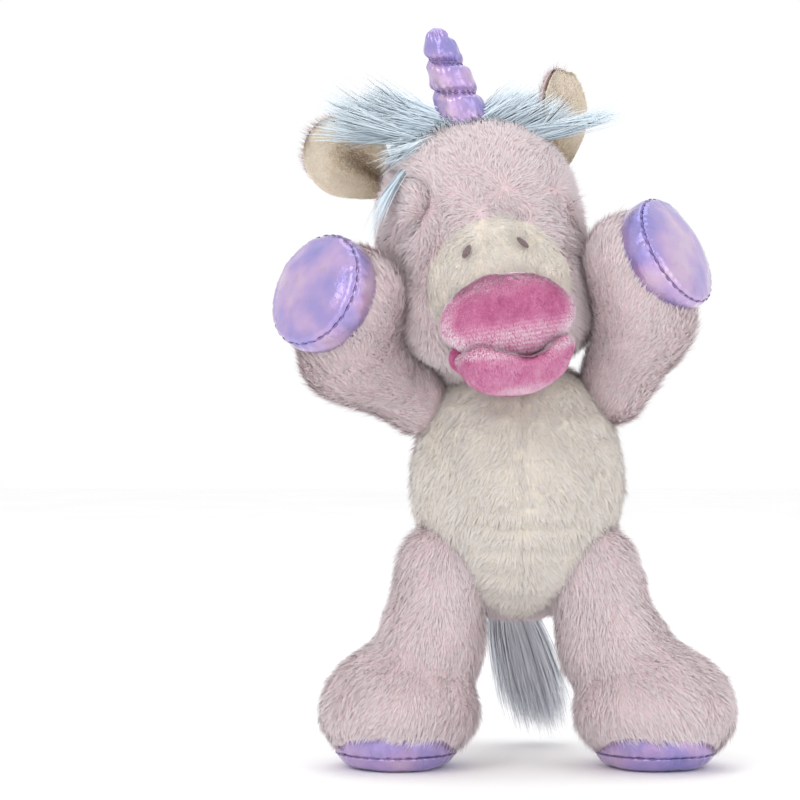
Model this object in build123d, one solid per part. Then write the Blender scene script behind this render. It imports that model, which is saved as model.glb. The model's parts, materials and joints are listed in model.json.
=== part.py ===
"""A soft plush unicorn standing on its two hind hooves with its forelegs raised.

The toy is cut and sewn: pile fabric casings over polyester fibre stuffing, a cream belly in
two panels, a cream muzzle with a velour mouth, foil-cloth hooves and horn, and long-pile hair
for the forelock, neck mane and tail. Every casing, its stuffing and its seams are separate.

Units are millimetres. +Z is up, the toy faces -Y, and Z = 0 is the floor under its soles.
"""

from build123d import *
from math import cos, radians, sin
import os

# ---------------------------------------------------------------- driving dimensions
FABRIC = 2.0  # pile fabric with its pile pressed flat
FOIL = 1.2  # foil cloth of the hooves and horn
GAP = 0.3  # room between two sewn neighbours
JOINT_GAP = 2.0  # room between a limb's rounded root and the hollow that holds it
THREAD_R = 0.5  # sewing thread, as a round wire

# The toy leans a little in its stance, so this brings its box to the middle of the frame.
STANCE = Vector(5.28, 2.25, 0)

TORSO_FOOT = 55  # lowest and highest point of the torso's egg
TORSO_HEAD = 152
TORSO_WAIST = [(24, 63), (37.5, 84), (39, 98), (33.5, 126), (19, 145)]  # radius, height
BELLY_CENTRE = Vector(0, 0, 104)
BELLY_SEMI = (35, 44.5)

NECK = Vector(-6, 2, 151)
NECK_BALL = 19
HEAD_ROLL = -9.5  # the crown leans to the toy's right
HEAD_YAW = 7.0  # and the muzzle turns to its left
HEAD_CENTRE = Vector(0, -6, 50)
HEAD_SEMI = (41, 38, 46)
MUZZLE_CENTRE = Vector(0, -31, 34)
MUZZLE_SEMI = (29, 21, 26)
MOUTH_CENTRE = Vector(0, -51, 21)
MOUTH_SEMI = (26, 10, 17)
LIP_CENTRE = Vector(0, -51, 5)
LIP_SEMI = (20.5, 11, 13)
LIP_HINGE = Vector(0, -38, 6)
NOSTRIL_X = 10.6
NOSTRIL_Z = 47.5

EAR_LENGTH = 35
EAR_WIDTH = 29
EAR_THICK = 8
EAR_ROOT = Vector(34, -2, 79)
EAR_GAP = 3.4

HORN_LENGTH = 37
HORN_BASE = Vector(0, -11, 97.4)
HORN_TILT = (9, -10, 0)

SOLE_THICK = 6.0
BAND_LENGTH = 9.0
SOLE_EDGE = 3.0

TAIL_ROOT = Vector(-3, 30.5, 64)


# ---------------------------------------------------------------- placing pieces
def place_head(shape):
    """Sets a piece that was made upright, with the neck at the origin, on the toy."""
    return Pos(*(NECK + STANCE)) * Rot(0, HEAD_ROLL, 0) * Rot(0, 0, HEAD_YAW) * shape


def place_body(shape):
    """Sets a piece that was made in the toy's own stance in the middle of the frame."""
    return Pos(*STANCE) * shape


def save(node, shape):
    """Writes one node's solids."""
    solids = shape.solids() if not isinstance(shape, list) else shape
    whole = solids[0] if len(solids) == 1 else Compound(children=list(solids))
    export_step(whole, f"parts/{node}.step")


# ---------------------------------------------------------------- basic forms
def ellipsoid(centre, semi, grow=0.0):
    """A closed ellipsoid, with every half-width changed by the same amount."""
    sizes = tuple(s + grow for s in semi)
    return Pos(*centre) * scale(Sphere(1), by=sizes)


def ball(centre, radius):
    return Pos(*centre) * Sphere(radius)


def largest(shape):
    """The biggest solid that a cut has left."""
    return shape.solids().sort_by(lambda s: s.volume)[-1]


def disc_face(centre, direction, radius):
    """A round section of a limb, square to its run."""
    return Plane(origin=centre, z_dir=direction) * Circle(radius)


def tube(sections):
    """A smooth limb through round sections, each (centre, direction, radius)."""
    return loft([disc_face(*s) for s in sections])


def along(centre, direction, length, radius):
    """A cylinder from centre along direction."""
    return extrude(disc_face(centre, direction, radius), amount=length)


def ring(centre, direction, radius, wire):
    """A round of thread."""
    plane = Plane(origin=centre, z_dir=direction)
    return plane.location * Torus(radius, wire)


# ---------------------------------------------------------------- limbs
class Limb:
    """One leg of the toy: a bent, stuffed tube with a round root and a foil hoof.

    root is the centre of the rounded root, bend the middle of the elbow or shin, sole the
    middle of the flat sole, and facing the way that the sole looks.
    """

    def __init__(self, name, seam, root, bend, sole, facing, root_r, bend_r, ankle_r, hoof_r):
        self.name = name
        self.seam = seam
        self.root, self.bend, self.sole = Vector(*root), Vector(*bend), Vector(*sole)
        self.facing = Vector(*facing).normalized()
        self.root_r, self.bend_r = root_r, bend_r
        self.ankle_r, self.hoof_r = ankle_r, hoof_r
        self.out = (self.bend - self.root).normalized()
        self.cuff = self.sole - self.facing * (SOLE_THICK + BAND_LENGTH)

    def body(self, inset):
        """The fabric tube's outer form, or one that lies inset within it."""
        into = (self.cuff - self.bend).normalized()
        turn = (self.out + into).normalized()
        last = (into + self.facing * 2).normalized()
        start = self.root + self.out * (0.2 * self.root_r)
        knee = self.bend + self.facing * 2
        ankle = self.cuff - self.facing * 11
        form = tube(
            [
                (start, self.out, 0.90 * self.root_r - inset),
                (self.root + self.out * (0.95 * self.root_r), self.out, self.bend_r * 0.95 - inset),
                (knee, turn, self.bend_r - inset),
                (ankle, last, self.ankle_r - inset),
                (self.cuff, self.facing, self.hoof_r - inset),
            ]
        )
        return form + ball(self.root, self.root_r - inset)

    def pieces(self):
        """Every piece of the limb, by node name."""
        casing = self.body(0) - self.body(FABRIC)
        opening = along(self.cuff - self.facing * 4, self.facing, 6, self.hoof_r - FABRIC)
        casing = casing - opening
        plug_start = self.cuff - self.facing * 3
        plug_r = self.hoof_r - FOIL - GAP - 0.8
        filling = self.body(FABRIC + GAP) + along(plug_start, self.facing, 3 + BAND_LENGTH - GAP, plug_r)
        band = along(self.cuff + self.facing * GAP, self.facing, BAND_LENGTH - 1.5 * GAP, self.hoof_r)
        band = band - along(self.cuff, self.facing, BAND_LENGTH, self.hoof_r - FOIL)
        seam_at = self.cuff + self.facing * (BAND_LENGTH + THREAD_R)
        sole_at = seam_at + self.facing * (THREAD_R + GAP / 2)
        sole_thick = SOLE_THICK - 2 * THREAD_R - GAP / 2
        sole = along(sole_at, self.facing, sole_thick, self.hoof_r - 0.4)
        outer_rim = sole.edges().filter_by(GeomType.CIRCLE).sort_by(
            lambda e: e.arc_center.dot(self.facing)
        )[-1]
        sole = fillet(outer_rim, SOLE_EDGE)
        return {
            f"{self.name}_casing": casing,
            f"{self.name}_stuffing": filling,
            f"{self.name}_hoof_band": band,
            f"{self.name}_hoof_seam": ring(seam_at, self.facing, self.hoof_r - 1.1, THREAD_R),
            f"{self.name}_hoof_sole": sole,
        }

    def root_seam(self):
        """The gathered thread that joins the limb to the torso, in the gap round the root."""
        r = self.root_r + JOINT_GAP / 2
        angle = radians(108)
        return ring(self.root + self.out * (r * cos(angle)), self.out, r * sin(angle), THREAD_R)

    def hollow(self):
        """The room that the torso leaves for the rounded root and for the limb to swing."""
        mouth = self.root + self.out * 26
        near = disc_face(self.root, self.out, self.root_r + JOINT_GAP)
        far = disc_face(mouth, self.out, self.bend_r + JOINT_GAP + 6)
        return ball(self.root, self.root_r + JOINT_GAP) + loft([near, far], ruled=True)


LIMBS = [
    Limb("right_arm", "right_shoulder_seam", (-40, -6, 134), (-66, -17, 155), (-81, -45, 183),
         (-0.66, -0.66, 0.34), 15.5, 18.5, 21, 21),
    Limb("left_arm", "left_shoulder_seam", (39, -6, 136), (48, -17, 168), (63, -31, 199),
         (0.74, -0.50, 0.45), 15.5, 18.5, 21, 21),
    Limb("right_leg", "right_hip_seam", (-29, -11, 75), (-33, -12, 47), (-47, -18, 0),
         (0, 0, -1), 18, 20.5, 29, 24),
    Limb("left_leg", "left_hip_seam", (29, -11, 75), (35, -12, 47), (52, -18, 0),
         (0, 0, -1), 18, 20.5, 29, 24),
]


# ---------------------------------------------------------------- torso
def torso_form(inset):
    """The torso's egg, or one that lies inset within it."""
    low, top = TORSO_FOOT + inset, TORSO_HEAD - inset
    sides = [(r - 0.85 * inset, z + 0.4 * inset * (TORSO_WAIST[2][1] - z) / 40) for r, z in TORSO_WAIST]
    edge = Spline([(0, low), *sides, (0, top)], tangents=[(1, 0), (-1, 0)])
    return revolve(make_face(Plane.XZ * (edge + Line((0, top), (0, low)))), Axis.Z)


def belly_prism(grow):
    """The upright oval that marks the cream belly off from the pile fabric."""
    wide, tall = BELLY_SEMI
    oval = Plane.XZ * Ellipse(wide + grow, tall + grow)
    return Pos(*BELLY_CENTRE) * extrude(oval, amount=60)


def torso_pieces():
    """The casing, the two belly panels with their seam, the stuffing and the closing stitches."""
    hollows = [limb.hollow() for limb in LIMBS] + [ball(NECK, NECK_BALL + JOINT_GAP)]
    inner = torso_form(FABRIC)
    casing = torso_form(0) - belly_prism(GAP) - inner
    belly = (torso_form(0) & belly_prism(0)) - inner
    core = torso_form(FABRIC + GAP)
    for hollow in hollows:
        casing = casing - hollow
        belly = belly - hollow
        core = core - hollow
    seam_wide, slit_wide, far = 1.0, 1.6, 200
    right_side = Pos(-(far + slit_wide) / 2, 0, 0) * Box(far, far, 2 * far)
    left_side = Pos((far + slit_wide) / 2, 0, 0) * Box(far, far, 2 * far)
    return {
        "torso_casing": largest(casing),
        "belly_panel_right": largest(belly & right_side),
        "belly_panel_left": largest(belly & left_side),
        "belly_seam": largest(belly & Box(seam_wide, far, 2 * far)),
        "torso_stuffing": largest(core),
        "closing_stitches": closing_stitches(),
    }


def closing_stitches():
    """A short ladder of stitches down the back, where the torso was closed after stuffing."""
    count, pitch, wide, back = 9, 4.0, 3.0, 39.3
    stitches = []
    for i in range(count):
        z = 82 + i * pitch
        stitches += (Pos(0, back, z) * Rot(0, 90, 0) * Cylinder(THREAD_R, wide)).solids()
    return stitches


# ---------------------------------------------------------------- head
def head_pieces():
    """The head and muzzle casings over one stuffing, the mouth, the nostrils and the neck seam."""
    head = ellipsoid(HEAD_CENTRE, HEAD_SEMI)
    head_in = ellipsoid(HEAD_CENTRE, HEAD_SEMI, -FABRIC)
    muzzle = ellipsoid(MUZZLE_CENTRE, MUZZLE_SEMI)
    muzzle_in = ellipsoid(MUZZLE_CENTRE, MUZZLE_SEMI, -FABRIC)
    neck = ball((0, 0, 0), NECK_BALL)
    stuffing = ellipsoid(HEAD_CENTRE, HEAD_SEMI, -FABRIC - GAP)
    stuffing = stuffing + ellipsoid(MUZZLE_CENTRE, MUZZLE_SEMI, -FABRIC - GAP)
    casing = (head - head_in) - muzzle_in - ball((0, 0, 0), NECK_BALL + GAP)
    stuffing = stuffing - ball((0, 0, 0), NECK_BALL + GAP)
    neck_casing = neck - ball((0, 0, 0), NECK_BALL - FABRIC)
    neck_stuffing = ball((0, 0, 0), NECK_BALL - FABRIC - GAP)
    front = ellipsoid(HEAD_CENTRE, HEAD_SEMI, GAP)
    muzzle_casing = (muzzle - muzzle_in) - front
    pad = ellipsoid(MOUTH_CENTRE, MOUTH_SEMI) - ellipsoid(MUZZLE_CENTRE, MUZZLE_SEMI, GAP)
    nostrils = (ellipsoid(MUZZLE_CENTRE, MUZZLE_SEMI, 0.9) - ellipsoid(MUZZLE_CENTRE, MUZZLE_SEMI, 0.15)) - front
    return {
        "head_casing": casing,
        "head_stuffing": stuffing,
        "neck_casing": neck_casing,
        "neck_stuffing": neck_stuffing,
        "muzzle_casing": muzzle_casing,
        "mouth_pad": pad,
        "right_nostril": nostrils & nostril_column(-1),
        "left_nostril": nostrils & nostril_column(1),
    }


def nostril_column(side):
    """The oval column that cuts one embroidered nostril out of the muzzle's surface."""
    oval = Plane.XZ * Rot(0, 0, side * -32) * Ellipse(3.6, 1.7)
    return Pos(side * NOSTRIL_X, 0, NOSTRIL_Z) * extrude(oval, amount=80)


def lip_pieces():
    """The lower lip, a padded crescent under the mouth pad, which drops to open the mouth."""
    lip = ellipsoid(LIP_CENTRE, LIP_SEMI)
    lip = lip - ellipsoid(MOUTH_CENTRE, MOUTH_SEMI, 1.0)
    lip = lip - ellipsoid(MUZZLE_CENTRE, MUZZLE_SEMI, 2.2)
    return {"lower_lip": largest(lip & (Pos(0, LIP_CENTRE.Y - 16, 0) * Box(80, 40, 80)))}


def neck_seam():
    """The thread that gathers the torso round the neck."""
    r = NECK_BALL + JOINT_GAP / 2
    angle = radians(112)
    return ring((0, 0, r * cos(angle)), (0, 0, 1), r * sin(angle), THREAD_R)


def ear_pieces(side, name, lean, turn):
    """A cupped ear: a pile-fabric back and a smooth cream lining in front of it.

    lean is the ear's angle above level, and turn how far its opening looks outwards.
    """
    centre = Vector(0, 0, EAR_GAP + 0.42 * EAR_LENGTH)
    front = centre - Vector(0, EAR_THICK / 2, 0)
    leaf = ellipsoid(centre, (EAR_WIDTH / 2, EAR_THICK / 2, 0.58 * EAR_LENGTH))
    lining_semi = (EAR_WIDTH / 2 - 2.5, 2.6, 0.58 * EAR_LENGTH - 2.5)
    above = Pos(0, 0, EAR_GAP + 30) * Box(60, 60, 60)
    back = (leaf & above) - ellipsoid(front, lining_semi, 0.4)
    lining = ellipsoid(front, lining_semi, 0.1) & above & (Pos(0, 0, 30) * Box(60, EAR_THICK + 1, 80))
    root = Vector(side * EAR_ROOT.X, EAR_ROOT.Y, EAR_ROOT.Z)
    pose = Pos(*root) * Rot(0, side * (90 - lean), 0) * Rot(0, 0, side * turn)
    return {f"{name}_ear_back": pose * back, f"{name}_ear_lining": pose * lining}


def horn_profile(inset, base):
    """Half of the horn's section: three plump turns that shrink towards a round tip."""
    top = HORN_LENGTH - inset
    turns = [(8.9, base), (9.3, 4.5), (7.9, 11.2), (8.6, 17.5), (6.8, 24.4), (6.6, 29.0), (4.6, 34.0)]
    points = [(radius - inset, height) for radius, height in turns]
    side = Spline([*points, (0, top)], tangents=[(0.1, 1), (-1, 0)])
    edge = side + Line((0, top), (0, base)) + Line((0, base), points[0])
    return revolve(Plane.XZ * make_face(edge), Axis.Z)


def horn_pieces():
    """The foil casing, its stuffing, and the thread that pulls the horn into turns."""
    casing = horn_profile(0, 0) - horn_profile(FOIL, FOIL)
    stuffing = horn_profile(FOIL + GAP, FOIL + GAP)
    thread = []
    for height, radius in ((11.2, 8.9), (24.4, 7.8)):
        thread += (Pos(0, 0, height) * Rot(0, -3, 0) * Torus(radius, 0.4)).solids()
    pose = Pos(*HORN_BASE) * Rot(*HORN_TILT)
    return {
        "horn_casing": pose * casing,
        "horn_stuffing": pose * stuffing,
        "horn_thread": [pose * s for s in thread],
    }


def hair_pieces():
    """The forelock over the crown and the mane down the back of the head."""
    over = ellipsoid(HEAD_CENTRE, HEAD_SEMI, 8.5)
    under = ellipsoid(HEAD_CENTRE, HEAD_SEMI, 0.5)
    coat = over - under
    horn_room = Pos(*HORN_BASE) * Rot(*HORN_TILT) * (Pos(0, 0, 8) * Cylinder(13, 50))
    crown = coat & (Pos(-4, -9, 96) * Box(48, 28, 36))
    wisp_right = Pos(-33, -18, 100) * Rot(0, 14, 0) * scale(Sphere(1), by=(20, 6, 5.5))
    wisp_left = Pos(24, -22, 96) * Rot(0, 14, 0) * scale(Sphere(1), by=(14, 5, 4.5))
    crown = crown + wisp_right + wisp_left - horn_room - under
    strip = coat & (Pos(0, 33, 55) * Box(24, 54, 76))
    return {"forelock": largest(crown), "neck_mane": largest(strip)}


# ---------------------------------------------------------------- tail
def tail_pieces():
    """A sewn tab and the long-pile brush that hangs from it."""
    tab = along(TAIL_ROOT - Vector(0, 0.6, 0), (0, 1, 0), 3.7, 4.0)
    brush = tube(
        [
            (TAIL_ROOT + Vector(0, 7.0, 6), (0, 0.4, -1), 3.5),
            (TAIL_ROOT + Vector(1.5, 11.0, -6), (0.1, 0.2, -1), 8.0),
            (TAIL_ROOT + Vector(6, 14, -24), (0.2, 0.1, -1), 10.5),
            (TAIL_ROOT + Vector(11, 15.5, -42), (0.25, 0, -1), 8.0),
            (TAIL_ROOT + Vector(14, 16, -54), (0.25, 0, -1), 3.0),
        ]
    )
    return {"tail_tab": tab, "tail_hair": brush}


# ---------------------------------------------------------------- the whole toy
def build():
    """Every node of the toy in place, as {node name: shape}."""
    nodes = {}
    for limb in LIMBS:
        made = {**limb.pieces(), limb.seam: limb.root_seam()}
        nodes.update({k: place_body(v) for k, v in made.items()})
    for k, v in {**torso_pieces(), **tail_pieces()}.items():
        nodes[k] = [place_body(s) for s in v] if isinstance(v, list) else place_body(v)
    on_head = {
        **head_pieces(),
        **lip_pieces(),
        **ear_pieces(-1, "right", 46, 12),
        **ear_pieces(1, "left", 75, 48),
        **horn_pieces(),
        **hair_pieces(),
        "neck_seam": neck_seam(),
    }
    for k, v in on_head.items():
        nodes[k] = [place_head(s) for s in v] if isinstance(v, list) else place_head(v)
    return nodes


def main():
    os.makedirs("parts", exist_ok=True)
    for node, shape in build().items():
        save(node, shape)


main()
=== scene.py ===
"""The visible model of the plush unicorn: pile, velour, foil cloth and long hair over its frame.

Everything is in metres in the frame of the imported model. Each soft piece is a closed form drawn
from a distance field, meshed here, and the pile on it is real strands of mesh. Places come from
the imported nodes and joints.
"""

import json
import math

import bmesh
import bpy
import numpy as np
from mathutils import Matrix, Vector

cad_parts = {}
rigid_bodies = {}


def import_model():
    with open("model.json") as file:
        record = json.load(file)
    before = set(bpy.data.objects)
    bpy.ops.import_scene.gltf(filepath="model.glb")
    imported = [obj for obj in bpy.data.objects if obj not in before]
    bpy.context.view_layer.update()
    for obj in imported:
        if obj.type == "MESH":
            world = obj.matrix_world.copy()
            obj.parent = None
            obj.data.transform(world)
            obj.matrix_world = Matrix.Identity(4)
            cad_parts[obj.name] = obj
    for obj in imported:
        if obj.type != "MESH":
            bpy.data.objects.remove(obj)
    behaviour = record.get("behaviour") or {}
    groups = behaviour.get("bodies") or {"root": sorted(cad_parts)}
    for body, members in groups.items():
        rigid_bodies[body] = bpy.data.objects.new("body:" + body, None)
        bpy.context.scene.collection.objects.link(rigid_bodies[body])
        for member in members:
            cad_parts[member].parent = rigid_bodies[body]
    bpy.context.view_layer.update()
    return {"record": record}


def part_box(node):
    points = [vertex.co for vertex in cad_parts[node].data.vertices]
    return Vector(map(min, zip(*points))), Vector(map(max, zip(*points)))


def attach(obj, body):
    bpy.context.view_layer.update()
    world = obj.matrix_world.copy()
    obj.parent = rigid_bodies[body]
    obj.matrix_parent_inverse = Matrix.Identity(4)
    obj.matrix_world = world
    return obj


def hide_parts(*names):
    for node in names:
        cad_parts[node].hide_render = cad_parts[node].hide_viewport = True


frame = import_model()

MM = 0.001
COAT = 4.4  # mm, the pile's length on the torso and limbs
COAT_DENSITY = 330  # strands to the square centimetre there
CLOTH_STEP = 1.6 * MM  # the mesh's step on torso, head and limbs
ABOVE_FLOOR = 0.3 * MM  # how low pile may hang


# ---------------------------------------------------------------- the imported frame
def low_high(*nodes):
    """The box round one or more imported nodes, as two numpy corners."""
    boxes = [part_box(n) for n in nodes]
    low = np.min([np.array(b[0]) for b in boxes], axis=0)
    high = np.max([np.array(b[1]) for b in boxes], axis=0)
    return low, high


def middle(*nodes):
    """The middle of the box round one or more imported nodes."""
    low, high = low_high(*nodes)
    return (low + high) / 2


def unit(v):
    """One vector, one long."""
    v = np.asarray(v, float)
    return v / np.linalg.norm(v)


JOINTS = {j["name"]: j for j in frame["record"]["behaviour"]["joints"]}


def pivot(joint):
    """A point on a packed joint's axis."""
    return np.array(JOINTS[joint]["pos_m"], float)


def axis(joint):
    """The direction of a packed joint's axis."""
    return unit(JOINTS[joint]["axis"])


# ---------------------------------------------------------------- numbers for many points
def hash_unit(cells, seed):
    """A repeatable number from 0 to 1 for each row of whole-number cells."""
    c = cells.astype(np.int64)
    h = c[..., 0] * 374761393 + c[..., 1] * 668265263 + c[..., 2] * 2147483647 + seed * 974634777
    h = (h ^ (h >> 13)) * 1274126177
    h = h ^ (h >> 16)
    return (h & 0xFFFFFF) / float(0xFFFFFF)


def noise(points, size, seed=0):
    """Smooth noise from -1 to 1 with features about size across."""
    p = np.asarray(points, float) / size
    base = np.floor(p)
    f = p - base
    f = f * f * (3 - 2 * f)
    total = np.zeros(p.shape[:-1])
    for dx in (0, 1):
        for dy in (0, 1):
            for dz in (0, 1):
                corner = hash_unit(base + np.array([dx, dy, dz]), seed)
                wx = f[..., 0] if dx else 1 - f[..., 0]
                wy = f[..., 1] if dy else 1 - f[..., 1]
                wz = f[..., 2] if dz else 1 - f[..., 2]
                total += corner * wx * wy * wz
    return total * 2 - 1


def noise_slope(points, size, seed=0):
    """The direction in which the noise rises, for each point."""
    e = size * 0.08
    parts = []
    for k in range(3):
        step = np.zeros(3)
        step[k] = e
        parts.append((noise(points + step, size, seed) - noise(points - step, size, seed)) / (2 * e))
    return np.stack(parts, -1) * size


def normalise(v):
    """Many vectors, each one long."""
    return v / np.maximum(np.linalg.norm(v, axis=-1, keepdims=True), 1e-12)


def smooth(x, low, high):
    """A soft step from 0 at low to 1 at high, or the other way round when high is below low."""
    t = np.clip((x - low) / (high - low), 0, 1)
    return t * t * (3 - 2 * t)


# ---------------------------------------------------------------- distance fields
def ellipsoid(centre, semi, turn=None):
    """A field for an ellipsoid; turn is a 3x3 matrix whose columns are its own axes."""
    c, s = np.asarray(centre, float), np.asarray(semi, float)

    def field(p):
        q = p - c
        if turn is not None:
            q = q @ turn
        a = np.linalg.norm(q / s, axis=-1)
        b = np.maximum(np.linalg.norm(q / (s * s), axis=-1), 1e-9)
        return a * (a - 1) / b

    return field


def cone(start, end, r0, r1):
    """A field for a round cone between two points."""
    a, b = np.asarray(start, float), np.asarray(end, float)

    def field(p):
        d = b - a
        t = np.clip(((p - a) @ d) / (d @ d), 0, 1)
        return np.linalg.norm(p - a - t[..., None] * d, axis=-1) - (r0 + (r1 - r0) * t)

    return field


def blend(k, *fields):
    """The smooth union of fields, with a fillet about k wide."""

    def field(p):
        d = fields[0](p)
        for f in fields[1:]:
            e = f(p)
            h = np.clip(0.5 + 0.5 * (e - d) / k, 0, 1)
            d = e * (1 - h) + d * h - k * h * (1 - h)
        return d

    return field


def surface(field, low, high, step):
    """Surface nets: the vertices and quads of the field's zero level."""
    low, high = np.asarray(low, float), np.asarray(high, float)
    n = np.ceil((high - low) / step).astype(int) + 1
    ax = [low[k] + step * np.arange(n[k]) for k in range(3)]
    grid = np.stack(np.meshgrid(*ax, indexing="ij"), -1)
    d = field(grid)
    inside = d < 0
    corners = [(i, j, k) for i in (0, 1) for j in (0, 1) for k in (0, 1)]
    cells = tuple(m - 1 for m in n)

    def corner(a, c):
        return a[c[0]:c[0] + cells[0], c[1]:c[1] + cells[1], c[2]:c[2] + cells[2]]

    count = sum(corner(inside, c).astype(int) for c in corners)
    active = (count > 0) & (count < 8)
    total = np.zeros(cells + (3,))
    hits = np.zeros(cells)
    for a in corners:
        for b in corners:
            if sum(abs(x - y) for x, y in zip(a, b)) != 1 or a > b:
                continue
            da, db = corner(d, a), corner(d, b)
            cross = (da < 0) != (db < 0)
            t = np.where(cross, da / np.where(cross, da - db, 1), 0)
            pa, pb = corner(grid, a), corner(grid, b)
            total += np.where(cross[..., None], pa + (pb - pa) * t[..., None], 0)
            hits += cross
    index = -np.ones(cells, int)
    index[active] = np.arange(active.sum())
    verts = total[active] / hits[active][:, None]
    quads = []
    for k in range(3):
        u, w = (k + 1) % 3, (k + 2) % 3
        here = [slice(1, m - 1) for m in n]
        here[k] = slice(0, n[k] - 1)
        there = list(here)
        there[k] = slice(1, n[k])
        s0, s1 = inside[tuple(here)], inside[tuple(there)]
        for flip, mask in ((False, s0 & ~s1), (True, ~s0 & s1)):
            at = np.argwhere(mask)
            if not len(at):
                continue
            at[:, u] += 1
            at[:, w] += 1
            ring = []
            for du, dw in ((-1, -1), (0, -1), (0, 0), (-1, 0)):
                c = at.copy()
                c[:, u] += du
                c[:, w] += dw
                ring.append(index[c[:, 0], c[:, 1], c[:, 2]])
            quad = np.stack(ring, 1)
            quads.append(quad[:, ::-1] if flip else quad)
    return verts, np.concatenate(quads)


# ---------------------------------------------------------------- meshes
def new_object(name, verts, faces):
    """A mesh object from vertices and faces that all have one number of corners."""
    faces = np.asarray(faces)
    mesh = bpy.data.meshes.new(name)
    mesh.vertices.add(len(verts))
    mesh.vertices.foreach_set("co", np.asarray(verts, np.float32).ravel())
    mesh.loops.add(faces.size)
    mesh.loops.foreach_set("vertex_index", faces.astype(np.int32).ravel())
    mesh.polygons.add(len(faces))
    mesh.polygons.foreach_set("loop_start", np.arange(len(faces), dtype=np.int32) * faces.shape[1])
    mesh.update(calc_edges=True)
    mesh.validate()
    mesh.shade_smooth()
    return linked(name, mesh)


def linked(name, data):
    """A new object of the scene that holds the mesh, lamp or camera given."""
    ob = bpy.data.objects.new(name, data)
    bpy.context.scene.collection.objects.link(ob)
    return ob


def arrays(ob):
    """Vertices, vertex normals and triangles of a mesh object."""
    me = ob.data
    co = np.empty(len(me.vertices) * 3, np.float32)
    me.vertices.foreach_get("co", co)
    no = np.empty(len(me.vertices) * 3, np.float32)
    me.vertex_normals.foreach_get("vector", no)
    me.calc_loop_triangles()
    tri = np.empty(len(me.loop_triangles) * 3, np.int32)
    me.loop_triangles.foreach_get("vertices", tri)
    return co.reshape(-1, 3).astype(float), no.reshape(-1, 3).astype(float), tri.reshape(-1, 3)


def lift_skin(ob, co, no, rise_mm):
    """Moves each vertex along its normal."""
    moved = co + no * (rise_mm * MM)[:, None]
    ob.data.vertices.foreach_set("co", moved.astype(np.float32).ravel())
    ob.data.update()


def relaxed(verts, faces, rounds=3, weight=0.5):
    """Verts moved towards the middle of their neighbours."""
    a = np.concatenate([faces[:, k] for k in range(4)])
    b = np.concatenate([faces[:, (k + 1) % 4] for k in range(4)])
    for _ in range(rounds):
        total = np.zeros_like(verts)
        hits = np.zeros(len(verts))
        np.add.at(total, a, verts[b])
        np.add.at(total, b, verts[a])
        np.add.at(hits, a, 1)
        np.add.at(hits, b, 1)
        verts = verts * (1 - weight) + weight * total / hits[:, None]
    return verts


def skin(name, field, low, high, step):
    """A closed cloth form meshed from a field."""
    verts, faces = surface(field, low, high, step)
    return new_object(name, relaxed(verts, faces), faces)


def dress(ob, material, body, slot, *nodes, fill=None):
    """Gives a piece its material and the body it rides on, and hides the nodes it stands for; slot is
    not used.

    fill is not used.
    """
    ob.data.materials.append(material)
    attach(ob, body)
    if nodes:
        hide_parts(*nodes)


# ---------------------------------------------------------------- strands
def scatter(ob, per_cm2, seed, keep=None):
    """Random points on a mesh with their smooth normals; keep(points, normals) is each one's share."""
    co, no, tri = arrays(ob)
    a, b, c = co[tri[:, 0]], co[tri[:, 1]], co[tri[:, 2]]
    area = np.linalg.norm(np.cross(b - a, c - a), axis=1) / 2
    rng = np.random.default_rng(seed)
    count = int(area.sum() * 1e4 * per_cm2 * (1))
    pick = rng.choice(len(tri), count, p=area / area.sum())
    u, v = rng.random(count), rng.random(count)
    over = u + v > 1
    u[over], v[over] = 1 - u[over], 1 - v[over]
    w = 1 - u - v
    point = a[pick] * w[:, None] + b[pick] * u[:, None] + c[pick] * v[:, None]
    na, nb, nc = no[tri[pick, 0]], no[tri[pick, 1]], no[tri[pick, 2]]
    normal = na * w[:, None] + nb * u[:, None] + nc * v[:, None]
    if keep is not None:
        chosen = rng.random(count) < keep(point, normal)
        point, normal = point[chosen], normal[chosen]
    return point, normalise(normal)


def strand_mesh(name, spine, side, facing, width, tones):
    """Flat tapered strands as one mesh.

    spine is (strands, rows, 3), side the unit vector across each row, facing the shading normal
    of each row, width each strand's width at its root. tones is a number from 0 to 1 for each.
    """
    n, rows = spine.shape[:2]
    taper = np.interp(np.linspace(0, 1, rows), [0, 0.35, 0.8, 1], [1.0, 1.0, 0.6, 0.12])
    half = side * (width[:, None, None] * taper[None, :, None] / 2)
    verts = np.stack([spine - half, spine + half], 2).reshape(-1, 3)
    start = (np.arange(n) * rows * 2)[:, None]
    row = (np.arange(rows - 1) * 2)[None, :]
    base = start + row
    faces = np.stack([base, base + 1, base + 3, base + 2], -1).reshape(-1, 4)
    ob = new_object(name, verts, faces)
    me = ob.data
    along = np.broadcast_to(np.linspace(0, 1, rows)[None, :, None], (n, rows, 2)).ravel()
    put = me.attributes.new("along", "FLOAT", "POINT")
    put.data.foreach_set("value", along.astype(np.float32))
    put = me.attributes.new("tone", "FLOAT", "POINT")
    put.data.foreach_set("value", np.repeat(tones, rows * 2).astype(np.float32))
    strand_uv(me, n, rows)
    normals = np.repeat(normalise(facing), 2, axis=1).reshape(-1, 3)
    me.normals_split_custom_set_from_vertices(normals.astype(np.float32))
    return ob


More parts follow.
